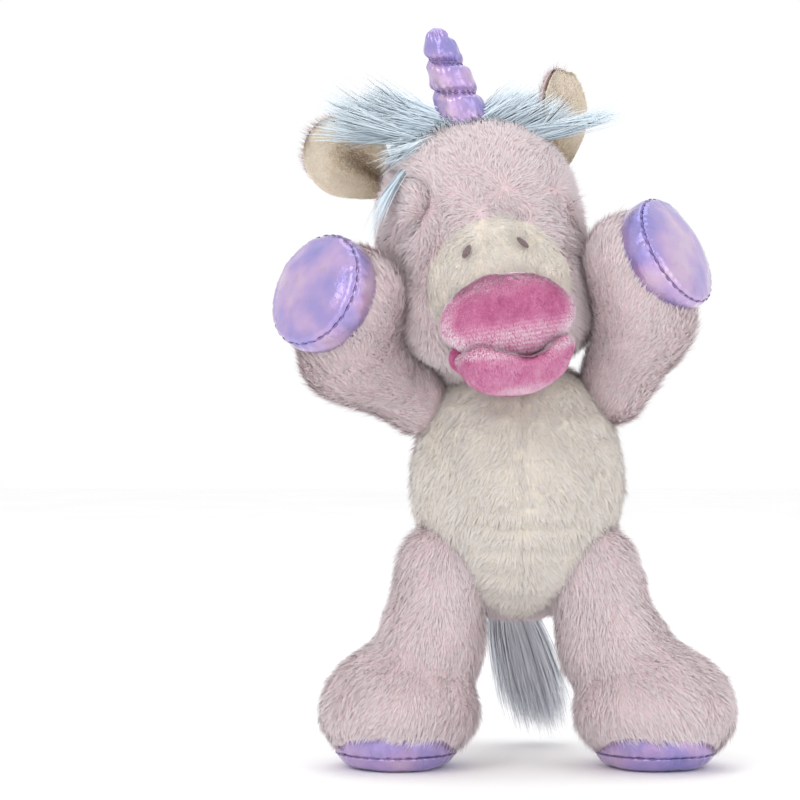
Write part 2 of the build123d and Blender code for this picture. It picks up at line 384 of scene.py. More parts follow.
def strand_uv(me, n, rows):
    """A place on the unit square for every strand, side by side in rows, root to tip upwards."""
    across = max(1, int(math.ceil(math.sqrt(n * 3.0))))
    down = int(math.ceil(n / across))
    k = np.arange(n)
    x0, y0 = (k % across) / across, (k // across) / down
    u = np.stack([x0 + 0.1 / across, x0 + 0.9 / across], 1)
    v = y0[:, None] + np.linspace(0.05, 0.95, rows)[None, :] / down
    uv = np.empty((n, rows, 2, 2))
    uv[..., 0] = u[:, None, :]
    uv[..., 1] = v[:, :, None]
    uv = uv.reshape(-1, 2)
    layer = me.uv_layers.new(name="OFBake")
    loops = np.empty(len(me.loops), np.int32)
    me.loops.foreach_get("vertex_index", loops)
    layer.data.foreach_set("uv", uv[loops].astype(np.float32).ravel())


def along_skin(v, normal):
    """The part of each vector that lies along the surface."""
    return v - normal * np.sum(v * normal, -1, keepdims=True)


def at_most(v, length):
    """Each vector, shortened where it is longer than length."""
    return v / np.maximum(1.0, np.linalg.norm(v, axis=-1, keepdims=True) / length)


def facing_out(tangent, outward, rng, tilt):
    """For each row of each strand, the unit vector across it and the normal on its outer side."""
    lean = rng.normal(size=(len(tangent), 1, 3)) * tilt
    side = normalise(np.cross(tangent, outward[:, None] + lean))
    own = normalise(np.cross(side, tangent))
    return side, own * np.sign(np.sum(own * outward[:, None], -1, keepdims=True) + 1e-9)


def pile(name, ob, comb, length, per_cm2, seed, keep=None, width=0.25, lift=0.66, clump=0.30,
         clump_size=3.4, shade=0.88, sink=0.6, tone=None):
    """Standing pile on a mesh: strands that lean along comb and gather into soft tufts.

    comb(points, normals) gives the way the pile is brushed, length and width are in mm, lift is
    how steeply the strands stand, clump how far the tips draw together, shade how much of the
    shading comes from the cloth below, sink how deep the roots start, and tone(points) what
    nap_material colours them by.
    """
    point, normal = scatter(ob, per_cm2, seed, keep)
    rng = np.random.default_rng(seed + 1)
    n = len(point)
    flow = comb(point, normal) + 0.25 * noise_slope(point, 14 * MM, seed)
    flow = normalise(along_skin(flow, normal))
    stray = rng.normal(size=(n, 3)) * 0.13
    size = length * MM * (0.72 + 0.5 * rng.random(n)) * (1 + 0.22 * noise(point, 9 * MM, seed + 5))
    pull = at_most(along_skin(noise_slope(point, clump_size * MM, seed + 2), normal), 2.0)
    fine = at_most(along_skin(noise_slope(point, clump_size * 0.42 * MM, seed + 3), normal), 2.0)
    t = np.linspace(0, 1, 3)[None, :, None]
    rise = lift * (t - 0.32 * t * t)
    lean = (1 - lift) * t + 0.45 * t * t
    gather = clump * (t ** 1.4)
    body = (
        normal[:, None] * rise
        + flow[:, None] * lean
        + (pull * 0.6 + fine * 0.35)[:, None] * gather * 0.5
        + stray[:, None] * t
    )
    spine = point[:, None] - normal[:, None] * (sink * MM) + body * size[:, None, None]
    spine[..., 2] = np.maximum(spine[..., 2], ABOVE_FLOOR)
    tangent = normalise(np.gradient(spine, axis=1))
    side, own = facing_out(tangent, normal, rng, 0.2)
    facing = normal[:, None] * shade + own * (1 - shade) + tangent * 0.05
    wide = width * MM * (0.7 + 0.6 * rng.random(n))
    tones = 0.5 + 0.16 * rng.normal(size=n) + 0.2 * noise(point, 16 * MM, seed + 7)
    if tone is not None:
        tones = tone(point) + 0.07 * rng.normal(size=n)
    return strand_mesh(name, spine, side, facing, wide, np.clip(tones, 0, 1))


def brushed(direction, *pushes):
    """A comb that runs along direction, plus pushes: (centre, reach, strength) away from centre."""
    d = np.asarray(direction, float)

    def comb(point, normal):
        flow = np.broadcast_to(d, point.shape).copy()
        for centre, reach, strength in pushes:
            away = point - np.asarray(centre)
            far = np.linalg.norm(away, axis=-1, keepdims=True)
            flow = flow + strength * away / np.maximum(far, 1e-6) * np.exp(-((far / reach) ** 2))
        return flow

    return comb


# ---------------------------------------------------------------- materials
def srgb(r, g, b):
    """A linear colour from one written 0 to 255 as it looks."""
    out = []
    for c in (r, g, b):
        c = c / 255
        out.append(c / 12.92 if c <= 0.04045 else ((c + 0.055) / 1.055) ** 2.4)
    return (*out, 1.0)


def grey(value):
    """A linear grey, as a colour."""
    return (value, value, value, 1)


class Nodes:
    """A new material with short calls to add and join its nodes."""

    def __init__(self, name):
        self.mat = bpy.data.materials.new(name)
        self.mat.use_nodes = True
        self.tree = self.mat.node_tree
        self.shader = self.tree.nodes["Principled BSDF"]

    def set(self, **values):
        """Values of the surface shader, named as its sockets are, with _ for a space."""
        for key, value in values.items():
            self.shader.inputs[key.replace("_", " ")].default_value = value

    def add(self, kind, **settings):
        node = self.tree.nodes.new("ShaderNode" + kind)
        for key, value in settings.items():
            setattr(node, key, value)
        return node

    def join(self, source, target):
        self.tree.links.new(source, target)

    def attribute(self, name):
        return self.add("Attribute", attribute_name=name).outputs["Fac"]

    def place(self):
        return self.add("TexCoord").outputs["Object"]

    def noise(self, size_mm, detail=3.0, rough=0.55):
        tex = self.add("TexNoise")
        tex.inputs["Scale"].default_value = 1.0 / (size_mm * MM)
        tex.inputs["Detail"].default_value = detail
        tex.inputs["Roughness"].default_value = rough
        self.join(self.place(), tex.inputs["Vector"])
        return tex.outputs["Fac"]

    def ramp(self, source, *stops):
        """Colour stops, each (position, colour)."""
        node = self.add("ValToRGB")
        ramp = node.color_ramp
        while len(ramp.elements) < len(stops):
            ramp.elements.new(0.5)
        for element, (at, colour) in zip(ramp.elements, stops):
            element.position = at
            element.color = colour
        self.join(source, node.inputs["Fac"])
        return node.outputs["Color"]

    def mix(self, share, a, b, how="MIX"):
        node = self.add("Mix", data_type="RGBA", blend_type=how)
        for value, socket in ((share, node.inputs[0]), (a, node.inputs[6]), (b, node.inputs[7])):
            if isinstance(value, (tuple, float, int)):
                socket.default_value = value
            else:
                self.join(value, socket)
        return node.outputs[2]

    def maths(self, how, a, b):
        node = self.add("Math", operation=how)
        for value, socket in ((a, node.inputs[0]), (b, node.inputs[1])):
            if isinstance(value, (float, int)):
                socket.default_value = value
            else:
                self.join(value, socket)
        return node.outputs[0]

    def bump(self, height, strength, distance_mm):
        node = self.add("Bump")
        node.inputs["Strength"].default_value = strength
        node.inputs["Distance"].default_value = distance_mm * MM
        self.join(height, node.inputs["Height"])
        self.join(node.outputs["Normal"], self.shader.inputs["Normal"])

    def colour(self, source):
        self.join(source, self.shader.inputs["Base Color"])


def strands_material(name, root, body, tip, other, share=0.35):
    """Pile or hair: darker at the root as painted shade among the strands, light at the tip, no two
    strands or patches alike.
    """
    m = Nodes(name)
    tone = m.attribute("tone")
    # painted shade: roots darker than the tips
    shade = m.ramp(m.attribute("along"), (0.0, root), (0.45, body), (1.0, tip))
    patch = m.maths("MULTIPLY", m.noise(22, 2.0), share)
    mixed = m.mix(patch, shade, other)
    light = m.ramp(tone, (0.0, (0.93, 0.91, 0.92, 1)), (0.5, grey(0.98)), (1.0, grey(1.04)))
    m.colour(m.mix(1.0, mixed, light, "MULTIPLY"))
    m.set(Roughness=0.85, Sheen_Weight=0.12, Sheen_Roughness=0.45, Specular_IOR_Level=0.18)
    return m.mat


def cloth_material(name, deep, light):
    """The knitted backing of a pile fabric, as it shows between the strands."""
    m = Nodes(name)
    knit = m.noise(0.9, 2.0)
    broad = m.noise(12, 3.0)
    m.colour(m.ramp(m.mix(0.5, knit, broad), (0.3, deep), (0.7, light)))
    m.set(Roughness=0.95, Sheen_Weight=0.3, Specular_IOR_Level=0.1)
    m.bump(knit, 0.5, 0.4)
    return m.mat


def foil_material(name):
    """Lilac foil cloth: a metal film on a fine weave, with pink and blue patches painted as its
    iridescent reflection and flecks painted as glints.
    """
    m = Nodes(name)
    broad = m.noise(15, 2.0, 0.4)
    # lilac drifting to pink and blue: painted reflection of the film's iridescence
    base = m.ramp(
        broad,
        (0.30, srgb(142, 132, 198)),
        (0.44, srgb(160, 142, 200)),
        (0.56, srgb(182, 154, 202)),
        (0.70, srgb(196, 170, 200)),
    )
    flecks = m.noise(3.2, 3.0, 0.6)
    # painted glints: flecks tinted yellow-green and blue
    painted_glints = m.ramp(flecks, (0.55, grey(1)), (0.68, srgb(236, 240, 216)), (0.78, srgb(206, 232, 244)))
    m.colour(m.mix(0.45, base, painted_glints, "MULTIPLY"))
    m.set(Metallic=0.55, Coat_Weight=0.6, Coat_Roughness=0.12, Sheen_Weight=0.08)
    m.set(Thin_Film_Thickness=430, Thin_Film_IOR=1.38)
    weave = m.add("TexVoronoi")
    weave.inputs["Scale"].default_value = 1.0 / (0.45 * MM)
    m.join(m.place(), weave.inputs["Vector"])
    creases = m.noise(1.6, 4.0, 0.65)
    m.join(m.maths("ADD", m.maths("MULTIPLY", flecks, 0.20), 0.11), m.shader.inputs["Roughness"])
    m.bump(m.maths("ADD", m.maths("MULTIPLY", weave.outputs["Distance"], 0.25), creases), 0.35, 0.5)
    return m.mat


def velour_material(name, deep, body, light):
    """Velour's backing, mottled where its short dense pile is stroked."""
    m = Nodes(name)
    nap = m.noise(5.5, 4.0, 0.65)
    fine = m.noise(0.55, 2.0, 0.5)
    both = m.mix(0.35, nap, fine)
    m.colour(m.ramp(both, (0.34, deep), (0.50, body), (0.66, light)))
    m.set(Roughness=0.75, Specular_IOR_Level=0.2)
    m.set(Sheen_Weight=0.9, Sheen_Roughness=0.32, Sheen_Tint=srgb(255, 214, 236))
    m.bump(fine, 0.6, 0.35)
    return m.mat


def nap_material(name, *stops):
    """Velour's short nap, coloured from deep to pale by each strand's tone, which carries painted sheen
    and painted shade as well as its own mottling and knit.
    """
    m = Nodes(name)
    shade = m.ramp(m.attribute("tone"), *stops)
    # painted shade: each strand darker at its root
    painted_root_shade = m.ramp(m.attribute("along"), (0.0, grey(0.82)), (1.0, grey(1.0)))
    m.colour(m.mix(1.0, shade, painted_root_shade, "MULTIPLY"))
    m.set(Roughness=0.7, Sheen_Weight=0.2, Sheen_Roughness=0.4, Specular_IOR_Level=0.2)
    return m.mat


def thread_material(name, dark, light):
    """Twisted sewing thread."""
    m = Nodes(name)
    ply = m.noise(0.4, 2.0)
    m.colour(m.ramp(ply, (0.35, dark), (0.65, light)))
    m.set(Roughness=0.6, Sheen_Weight=0.25)
    m.bump(ply, 0.5, 0.2)
    return m.mat


PINK_PILE = strands_material(
    "pink_pile", srgb(218, 201, 203), srgb(227, 215, 217), srgb(233, 225, 227), srgb(219, 200, 204)
)
CREAM_PILE = strands_material(
    "cream_pile", srgb(220, 211, 201), srgb(227, 222, 216), srgb(233, 230, 226), srgb(225, 216, 205)
)
BLUE_HAIR = strands_material(
    "blue_hair", srgb(216, 230, 239), srgb(222, 234, 242), srgb(232, 241, 246), srgb(208, 228, 243),
    share=0.5,
)
GREY_HAIR = strands_material(
    "grey_hair", srgb(226, 228, 236), srgb(233, 236, 242), srgb(241, 244, 249), srgb(222, 228, 240),
    share=0.5,
)
# The backing colours are a little darker than the pile's: the backing's own colour, deepened as painted
# shade at the partings.
PINK_CLOTH = cloth_material("pink_cloth", srgb(206, 180, 184), srgb(224, 204, 208))
CREAM_CLOTH = cloth_material("cream_cloth", srgb(212, 200, 184), srgb(228, 220, 208))
EAR_CLOTH = cloth_material("ear_cloth", srgb(212, 194, 170), srgb(230, 219, 202))
FOIL = foil_material("foil_cloth")
VELOUR = velour_material("velour", srgb(178, 84, 132), srgb(204, 116, 160), srgb(222, 152, 188))
# a darker copy of the velour: painted shade for the fold behind the pad and lip
VELOUR_PAINTED_SHADE = velour_material("velour_deep", srgb(132, 50, 88), srgb(164, 76, 118), srgb(190, 112, 150))
# The nap's stops: the pale end shows the painted sheen and the deep end the painted shade that the
# pad's and lip's tones carry.
NAP = nap_material(
    "velour_nap", (0.0, srgb(190, 90, 140)), (0.3, srgb(226, 142, 184)), (0.65, srgb(238, 190, 214)),
    (1.0, srgb(250, 230, 240)),
)
# The ear nap's tan low end is painted shade in the lining's fold.
EAR_NAP = nap_material(
    "ear_nap", (0.0, srgb(170, 142, 114)), (0.5, srgb(208, 188, 162)), (1.0, srgb(236, 226, 210))
)
THREAD = thread_material("seam_thread", srgb(96, 84, 128), srgb(138, 122, 172))
CREAM_THREAD = thread_material("cream_thread", srgb(196, 180, 160), srgb(222, 210, 194))
BROWN_THREAD = thread_material("brown_thread", srgb(92, 74, 78), srgb(134, 114, 116))
PINK_THREAD = thread_material("pink_thread", srgb(186, 146, 152), srgb(214, 182, 188))


# ---------------------------------------------------------------- the head's own frame
NECK = pivot("neck_nod")
HEAD_X = axis("mouth_open")
HEAD_UP = unit([-HEAD_X[2], 0, HEAD_X[0]])
HEAD_TURN = np.stack([HEAD_X, np.cross(HEAD_UP, HEAD_X), HEAD_UP], 1)


def on_head(x, y, z):
    """A point given in mm from the neck, with the head upright and looking along -Y."""
    return NECK + HEAD_TURN @ (np.array([x, y, z], float) * MM)


FACE_SHIFT = np.array([-2.6, 0, -1.8])  # mm: mouth and nostrils sit low and to the toy's right


def on_face(x, y, z):
    """As on_head, for the mouth and nostrils."""
    return on_head(*(FACE_SHIFT + [x, y, z]))


def head_mm(points):
    """Points of the frame, in mm from the neck with the head upright."""
    return (points - NECK) @ HEAD_TURN / MM


def ball(centre, *semi_mm):
    """An ellipsoid's field, with its axes along the head's own."""
    return ellipsoid(centre, np.array(semi_mm) * MM, HEAD_TURN)


# ---------------------------------------------------------------- torso
TORSO_LOW, TORSO_HIGH = low_high("torso_casing", "belly_panel_right", "belly_panel_left")
TORSO_MID = (TORSO_LOW + TORSO_HIGH) / 2
TORSO_MID[0] = pivot("tail_lift")[0] + 3 * MM  # the belly's seam runs a little to the toy's left


def egg(inset):
    """The torso's field, inset mm within its packed casing."""
    c = (TORSO_LOW + TORSO_HIGH) / 2
    wide, deep, tall = (TORSO_HIGH - TORSO_LOW) / 2
    wide, deep = wide - inset * MM, deep - inset * MM
    belly = ellipsoid(c + [0, 0, -0.12 * tall], (wide, deep, tall * 0.88 - inset * MM))
    chest = ellipsoid(c + [0, 0, 0.30 * tall], (wide * 0.97, deep * 0.88, tall * 0.66 - inset * MM))
    yoke = ellipsoid(c + [0, 0, 0.66 * tall], (wide * 0.80, deep * 0.64, tall * 0.38))
    return blend(14 * MM, belly, chest, yoke)


def is_belly(points):
    """1 in the cream belly, 0 outside, for points on the torso."""
    q = (points - TORSO_MID) / MM
    low, high = low_high("belly_panel_right", "belly_panel_left")
    up = (points[:, 2] * 2 - low[2] - high[2]) / (high[2] - low[2])
    power = np.where(up > 0, 2.8, 1.4)
    edge = (np.abs(q[:, 0]) / 45) ** power + np.abs(up / 1.07) ** power
    rough = 0.02 * noise(points, 5 * MM, 31)
    return np.where((q[:, 1] < 0) & (edge + rough < 1), 1.0, 0.0)


def second_cloth(ob, where, material):
    """Gives an object's faces a second material where where(points) is 1."""
    me = ob.data
    me.materials.append(material)
    mid = np.empty(len(me.polygons) * 3, np.float32)
    me.polygons.foreach_get("center", mid)
    pick = where(mid.reshape(-1, 3).astype(float)).astype(np.int32)
    me.polygons.foreach_set("material_index", pick)


def crumple(ob, seed, deep, along=(0, 0, 0)):
    """Soft dents and creases deep mm high, drawn out across the direction along."""
    co, no, _ = arrays(ob)
    a = np.asarray(along, float)
    p = co + (co @ a)[:, None] * a
    soft = noise(p, 17 * MM, seed) + 0.5 * noise(p, 8 * MM, seed + 1)
    fold = 1 - np.abs(noise(p, 13 * MM, seed + 2)) * 5
    crease = np.clip(fold, 0, 1) ** 2
    lift_skin(ob, co, no, deep * soft - 0.9 * deep * crease)


def wrinkle(ob):
    """Three soft folds across the belly, where the toy bends, and the sunken seam down it."""
    co, no, _ = arrays(ob)
    x, z = (co[:, 0] - TORSO_MID[0]) / MM, co[:, 2] / MM
    front = smooth(-no[:, 1], 0.3, 0.8)
    depth = np.zeros(len(co))
    folds = ((100, 0.9, 0.05), (93, 1.3, -0.04), (84, 0.9, 0.03))  # height, depth in mm, lean
    for height, deep, lean in folds:
        line = height + lean * x + 1.2 * np.sin(x / 8 + height)
        depth -= deep * np.exp(-(((z - line) / 1.7) ** 2)) * smooth(np.abs(x), 32, 18)
    depth -= 1.3 * np.exp(-(((x - 0.4 * np.sin(z / 11)) / 1.3) ** 2))
    lift_skin(ob, co, no, depth * front)


def make_torso():
    """The stuffed body, its pink coat and its cream belly."""
    field = egg(0.4)
    low, high = TORSO_LOW - 6 * MM, TORSO_HIGH + 6 * MM
    body = skin("torso_cloth", field, low, high, CLOTH_STEP)
    crumple(body, seed=5, deep=0.7, along=(0, 0, 1.4))
    wrinkle(body)
    dress(body, PINK_CLOTH, "torso", "pink_pile", "torso_casing", "torso_stuffing",
          "belly_panel_right", "belly_panel_left", fill=0.9)
    second_cloth(body, is_belly, CREAM_CLOTH)
    down = brushed((0, 0, -1), (TORSO_MID + [0, 0, -20 * MM], 60 * MM, 0.4))

    def front(point, normal):
        side = (point - TORSO_MID)[:, 0] / MM
        flow = np.zeros_like(point)
        flow[:, 0] = 0.5 * np.sign(side) * smooth(np.abs(side), 0, 8)
        flow[:, 2] = -1
        return flow

    coat = pile("torso_pile", body, down, COAT, COAT_DENSITY, seed=11,
                keep=lambda p, n: 1 - is_belly(p))
    dress(coat, PINK_PILE, "torso", "pink_pile")
    bib = pile("belly_pile", body, front, length=3.8, per_cm2=380, seed=12, keep=seam_parting,
               clump=0.4, clump_size=6)
    dress(bib, CREAM_PILE, "torso", "cream_pile")


def seam_parting(points, normals):
    """The belly's pile, thinner along the seam down its middle."""
    q = (points - TORSO_MID) / MM
    near = np.abs(q[:, 0] + 0.5 * noise(points, 9 * MM, 4))
    return is_belly(points) * (0.6 + 0.4 * smooth(near, 0.2, 1.2))


# ---------------------------------------------------------------- head
def head_field():
    """Skull, brow, cheeks and the muzzle that bulges forward."""
    return blend(
        9 * MM,
        ball(on_head(-0.5, -4, 50), 40.0, 36.5, 43.0),  # skull
        ball(on_head(0, -8, 69.5), 34.5, 28.5, 27.0),  # brow
        ball(on_head(-6, -17, 28), 35.0, 24.5, 27.0),  # right cheek
        ball(on_head(11, -12, 24), 32.5, 21.0, 24.0),  # left cheek
        ball(on_head(0, -29, 33), 27.0, 20.0, 23.0),  # muzzle
        ball(on_head(-2, 0, 6), 25.0, 20.0, 18.0),  # neck
    )


def is_muzzle(points):
    """1 in the cream patch round the mouth, 0 elsewhere on the head."""
    q = head_mm(points)
    edge = ((q[:, 0] + 1.5) / 27.0) ** 2 + ((q[:, 2] - 30.0) / 27.5) ** 2
    return np.where((q[:, 1] < -22) & (edge + 0.05 * noise(points, 6 * MM, 33) < 1), 1.0, 0.0)


def head_comb(point, normal):
    """Brushed away from the brow: up and back on the crown, down the cheeks and the back."""
    q = head_mm(point)
    away = normalise(q - [0, -34, 52.0])
    down = np.array([0, 0.25, -1.0])
    share = np.maximum(smooth(q[:, 2], 78, 40), smooth(q[:, 1], -12, 8))[:, None]
    wander = at_most(noise_slope(point, 11 * MM, 77), 1.0)
    return (away * (0.9 - 0.7 * share) + down * share) @ HEAD_TURN.T + wander * 0.7


def pinch(ob):
    """The folds in the toy's right brow and cheek, where the stuffing has shifted.

    Each is a line of (x, z) in mm, pressed into the front of the head.
    """
    brow = np.array([(-41, 227), (-36, 223), (-30.5, 219.6), (-31, 214), (-34, 208), (-38.5, 200.6)])
    cheek = np.array([(-40, 196), (-37, 186), (-30, 176), (-24, 170)])
    co, no, _ = arrays(ob)
    depth = np.zeros(len(co))
    for line, deep, wide in ((brow, 2.8, 1.5), (cheek, 1.2, 2.4)):
        near = np.full(len(co), 1e9)
        for a, b in zip(line[:-1], line[1:]):
            d = (b - a)[None]
            q = co[:, [0, 2]] / MM - a
            t = np.clip((q @ (b - a)) / ((b - a) @ (b - a)), 0, 1)[:, None]
            near = np.minimum(near, np.linalg.norm(q - t * d, axis=1))
        front = smooth(-no[:, 1], 0.05, 0.4)
        depth -= deep * np.exp(-((near / wide) ** 2)) * front
        depth += 0.45 * deep * np.exp(-(((near - 2.6 * wide) / (1.6 * wide)) ** 2)) * front
    lift_skin(ob, co, no, depth)


def make_head():
    """Head and neck in one, with the pink coat and the cream muzzle."""
    low, high = low_high("head_casing", "muzzle_casing", "neck_casing")
    room = 10.4 * MM  # for the cheeks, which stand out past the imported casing
    body = skin("head_cloth", head_field(), low - room, high + room, CLOTH_STEP)
    crumple(body, seed=15, deep=0.4)
    pinch(body)
    dress(body, PINK_CLOTH, "head", "pink_pile", "head_casing", "head_stuffing",
          "neck_casing", "neck_stuffing", "muzzle_casing", fill=0.9)
    second_cloth(body, is_muzzle, CREAM_CLOTH)
    coat = pile("head_pile", body, head_comb, length=3.9, per_cm2=360, seed=21,
                keep=lambda p, n: 1 - is_muzzle(p), lift=0.84, clump=0.36, clump_size=2.4)
    dress(coat, PINK_PILE, "head", "pink_pile")
    face = pile("muzzle_pile", body, head_comb, length=3.0, per_cm2=420, seed=22,
                keep=lambda p, n: is_muzzle(p), lift=0.74)
    dress(face, CREAM_PILE, "head", "cream_pile")


# ---------------------------------------------------------------- limbs
class Limb:
    """One limb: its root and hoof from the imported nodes, its bend and thicknesses given in mm.

    foot, on a leg, is the middle and semi-axes in mm of the fullness over its hoof.
    """

    def __init__(self, name, shift, bend, root_r, bend_r, ankle_r, foot=None):
        self.name = name
        self.root = pivot(name + "_swing") + np.array(shift) * MM
        self.bend = pivot(name + "_swing") + np.array(bend) * MM
        self.band = middle(name + "_hoof_band")
        self.sole = middle(name + "_hoof_sole")
        self.facing = unit(self.sole - self.band)
        low, high = low_high(name + "_hoof_sole")
        across = np.sort(high - low)[-1]
        self.hoof_r = across / 2 if abs(self.facing[2]) > 0.99 else 22.4 * MM
        self.root_r, self.bend_r, self.ankle_r = root_r * MM, bend_r * MM, ankle_r * MM
        self.foot = foot

    def field(self):
        """The limb's skin, cut off where its hoof's band begins."""
        cuff = self.band + self.facing * (-1.0 if self.foot is None else 2.0) * MM
        ankle = self.band - self.facing * (self.ankle_r * 0.62)
        cuff_r = self.ankle_r * (0.92 if self.foot is None else 0.76)
        puff = np.array([1, 1, 0.78]) * self.ankle_r
        parts = [
            cone(self.root, self.bend, self.root_r, self.bend_r),
            cone(self.bend, ankle, self.bend_r, cuff_r),
            ellipsoid(ankle, puff, frame_along(self.facing)),
        ]
        if self.foot is not None:
            parts.append(ellipsoid(ankle + np.array(self.foot[0]) * MM, np.array(self.foot[1]) * MM))
        whole = blend((9 if self.foot is None else 6) * MM, *parts)

        def cut(p):
            past = (p - cuff) @ self.facing
            if self.foot is not None:
                past = past + self.hem(p) * MM
            return np.maximum(whole(p), past)

        return cut

    def hem(self, points):
        """How many mm higher than at its sides the fur ends above a foot's toe."""
        around = normalise((points - self.band) * [1, 1, 0])
        return 7.5 * smooth(-around[..., 1], 0.25, 0.9) - 2.0

    def comb(self, point, normal):
        """Brushed from the root towards the hoof."""
        first = unit(self.bend - self.root)
        second = unit(self.band - self.bend)
        share = smooth((point - self.bend) @ unit(self.band - self.root), -12 * MM, 12 * MM)[:, None]
        return first * (1 - share) + second * share


def frame_along(direction):
    """Three unit columns, the last of them along direction."""
    z = unit(direction)
    x = unit(np.cross([0, 1.0, 0.2], z))
    return np.stack([x, np.cross(z, x), z], 1)


LIMBS = [  # name, root's and bend's places from the joint, radii at root, bend and ankle, foot
    Limb("right_arm", (2, 0, 5), (-24, -11, 24), 12.5, 17.5, 21.5),
    Limb("left_arm", (-2, 0, 8), (9, -11, 34), 13.0, 17.0, 21.5),
    Limb("right_leg", (1, 0, 0), (-5, -1, -30), 18.0, 19.0, 25.5, ((1, -5, -5), (30, 26, 20))),
    Limb("left_leg", (-1, 0, 0), (7, -1, -30), 18.0, 19.0, 25.5, ((-1, -5, -5), (30, 26, 20))),
]


def make_limb(limb, seed):
    """A stuffed arm or leg as far as its hoof, and its coat."""
    name = limb.name
    low, high = low_high(name + "_casing", name + "_hoof_band")
    body = skin(name + "_cloth", limb.field(), low - 8 * MM, high + 8 * MM, CLOTH_STEP)
    crumple(body, seed, deep=0.75)
    dress(body, PINK_CLOTH, name, "pink_pile", name + "_casing", name + "_stuffing", fill=0.9)

    def keep(points, normals):
        past = (points - limb.band) @ limb.facing / MM
        if limb.foot is None:
            return np.where(past < -2.0, 1.0, 0.0)
        return np.where(past < 1.2 - limb.hem(points), 1.0, 0.0)

    coat = pile(name + "_pile", body, limb.comb, COAT, COAT_DENSITY, seed, keep)
    dress(coat, PINK_PILE, name, "pink_pile")


# ---------------------------------------------------------------- turned and drawn forms
def turned(name, profile, centre, turn, around, rows, shape):
    """A lathe form: profile is (radius, height) in mm, turn's third column is its axis.

    around and rows are the mesh's counts. shape(radius, height, angle) gives each vertex's radius
    and height in mm. Both ends close.
    """
    pts = np.array(profile, float)
    run = np.concatenate([[0], np.cumsum(np.linalg.norm(np.diff(pts, axis=0), axis=1))])
    s = np.linspace(0, run[-1], rows)
    r = curve_through(run, pts[:, 0], s)
    h = curve_through(run, pts[:, 1], s)
    angle = np.linspace(0, 2 * math.pi, around, endpoint=False)
    rr, aa = np.meshgrid(r, angle, indexing="ij")
    hh = np.broadcast_to(h[:, None], rr.shape)
    rr, hh = shape(rr, hh, aa)
    local = round_axis(rr, hh, aa).reshape(-1, 3)
    ends = np.array([[0, 0, hh[0].mean()], [0, 0, hh[-1].mean()]])
    verts = np.concatenate([local, ends]) * MM @ np.asarray(turn).T + centre
    faces = tube_faces(0, rows, around)
    last = (rows - 1) * around
    for j in range(around):
        k = (j + 1) % around
        faces.append((rows * around, k, j))
        faces.append((rows * around + 1, last + j, last + k))
    return drawn(name, verts, faces)


def tube_faces(start, rows, around):
    """The quads between rows of a tube whose first vertex is number start."""
    faces = []
    for q in range(start, start + (rows - 1) * around, around):
        for j in range(around):
            k = (j + 1) % around
            faces.append((q + j, q + k, q + around + k, q + around + j))
    return faces


def round_axis(r, h, a):
    """Points at radius r, height h and angle a about the third axis."""
    return np.stack([r * np.cos(a), r * np.sin(a), h], -1)


def curve_through(x, y, at):
    """A smooth curve through points, with no overshoot."""
    slope = np.gradient(y, x)
    i = np.clip(np.searchsorted(x, at) - 1, 0, len(x) - 2)
    w = x[i + 1] - x[i]
    t = (at - x[i]) / w
    a, b = y[i], y[i + 1]
    m0, m1 = slope[i] * w, slope[i + 1] * w
    return (
        a * (2 * t ** 3 - 3 * t ** 2 + 1) + m0 * (t ** 3 - 2 * t ** 2 + t)
        + b * (3 * t ** 2 - 2 * t ** 3) + m1 * (t ** 3 - t ** 2)
    )


def drawn(name, verts, faces):
    """A mesh object from faces of any number of corners, with its normals outward."""
    mesh = bpy.data.meshes.new(name)
    mesh.from_pydata([tuple(v) for v in verts], [], [tuple(f) for f in faces])
    mesh.validate()
    mesh.update()
    bm = bmesh.new()
    bm.from_mesh(mesh)
    bmesh.ops.recalc_face_normals(bm, faces=bm.faces)
    bm.to_mesh(mesh)
    bm.free()
    mesh.shade_smooth()
    return linked(name, mesh)


def thread(name, paths, radius, around=8):
    """Threads, radius in mm, as tubes with rounded ends; paths are lists of points in metres."""
    verts, faces = [], []
    for path in paths:
        p = np.asarray(path, float)
        t = normalise(np.gradient(p, axis=0))
        ref = np.array([0.13, 0.31, 0.94])
        u = normalise(np.cross(t, ref))
        w = np.cross(t, u)
        n = len(p)
        start = len(verts)
        for i in range(n):
            round_end = math.sin(math.pi * min(1.0, (i + 0.6) / 1.8, (n - 0.4 - i) / 1.8) / 2)
            for j in range(around):
                a = 2 * math.pi * j / around
                out = u[i] * math.cos(a) + w[i] * math.sin(a)
                verts.append(p[i] + radius * MM * round_end * out)
        faces += tube_faces(start, n, around)
        faces.append(tuple(start + j for j in reversed(range(around))))
        faces.append(tuple(start + (n - 1) * around + j for j in range(around)))
    return drawn(name, verts, faces)


def ring_path(centre, normal, radius, start=0.0, sweep=2 * math.pi, points=64):
    """Points round a circle, in metres."""
    f = frame_along(normal)
    a = start + np.linspace(0, sweep, points)
    return centre + radius * (np.cos(a)[:, None] * f[:, 0] + np.sin(a)[:, None] * f[:, 1])


# ---------------------------------------------------------------- hooves
def puckers(seed, many, deep, near, reach):
    """A lathe's shape: creases across a seam at height near that fade over reach.

    There are about many creases, deep mm deep.
    """
    rng = np.random.default_rng(seed)
    waves = []
    for _ in range(7):
        waves.append((int(rng.integers(many // 2, many * 2)), rng.random() * 6.28, rng.random()))

    def shape(r, h, a):
        fold = sum(w * np.cos(k * a + p + 0.15 * (h - near)) for k, p, w in waves)
        fold = fold / sum(w for _, _, w in waves)
        fade = np.exp(-(((h - near) / reach) ** 2))
        p = round_axis(r, h, a) + seed * 50
        dent = noise(p, 9.0, seed) * 0.5 + noise(p, 4.0, seed + 1) * 0.22
        inner = smooth(r, 2.0, 9.0)
        return r + (deep * fold * fade + 0.6 * dent) * inner, h + 0.45 * dent * (h > near)

    return shape


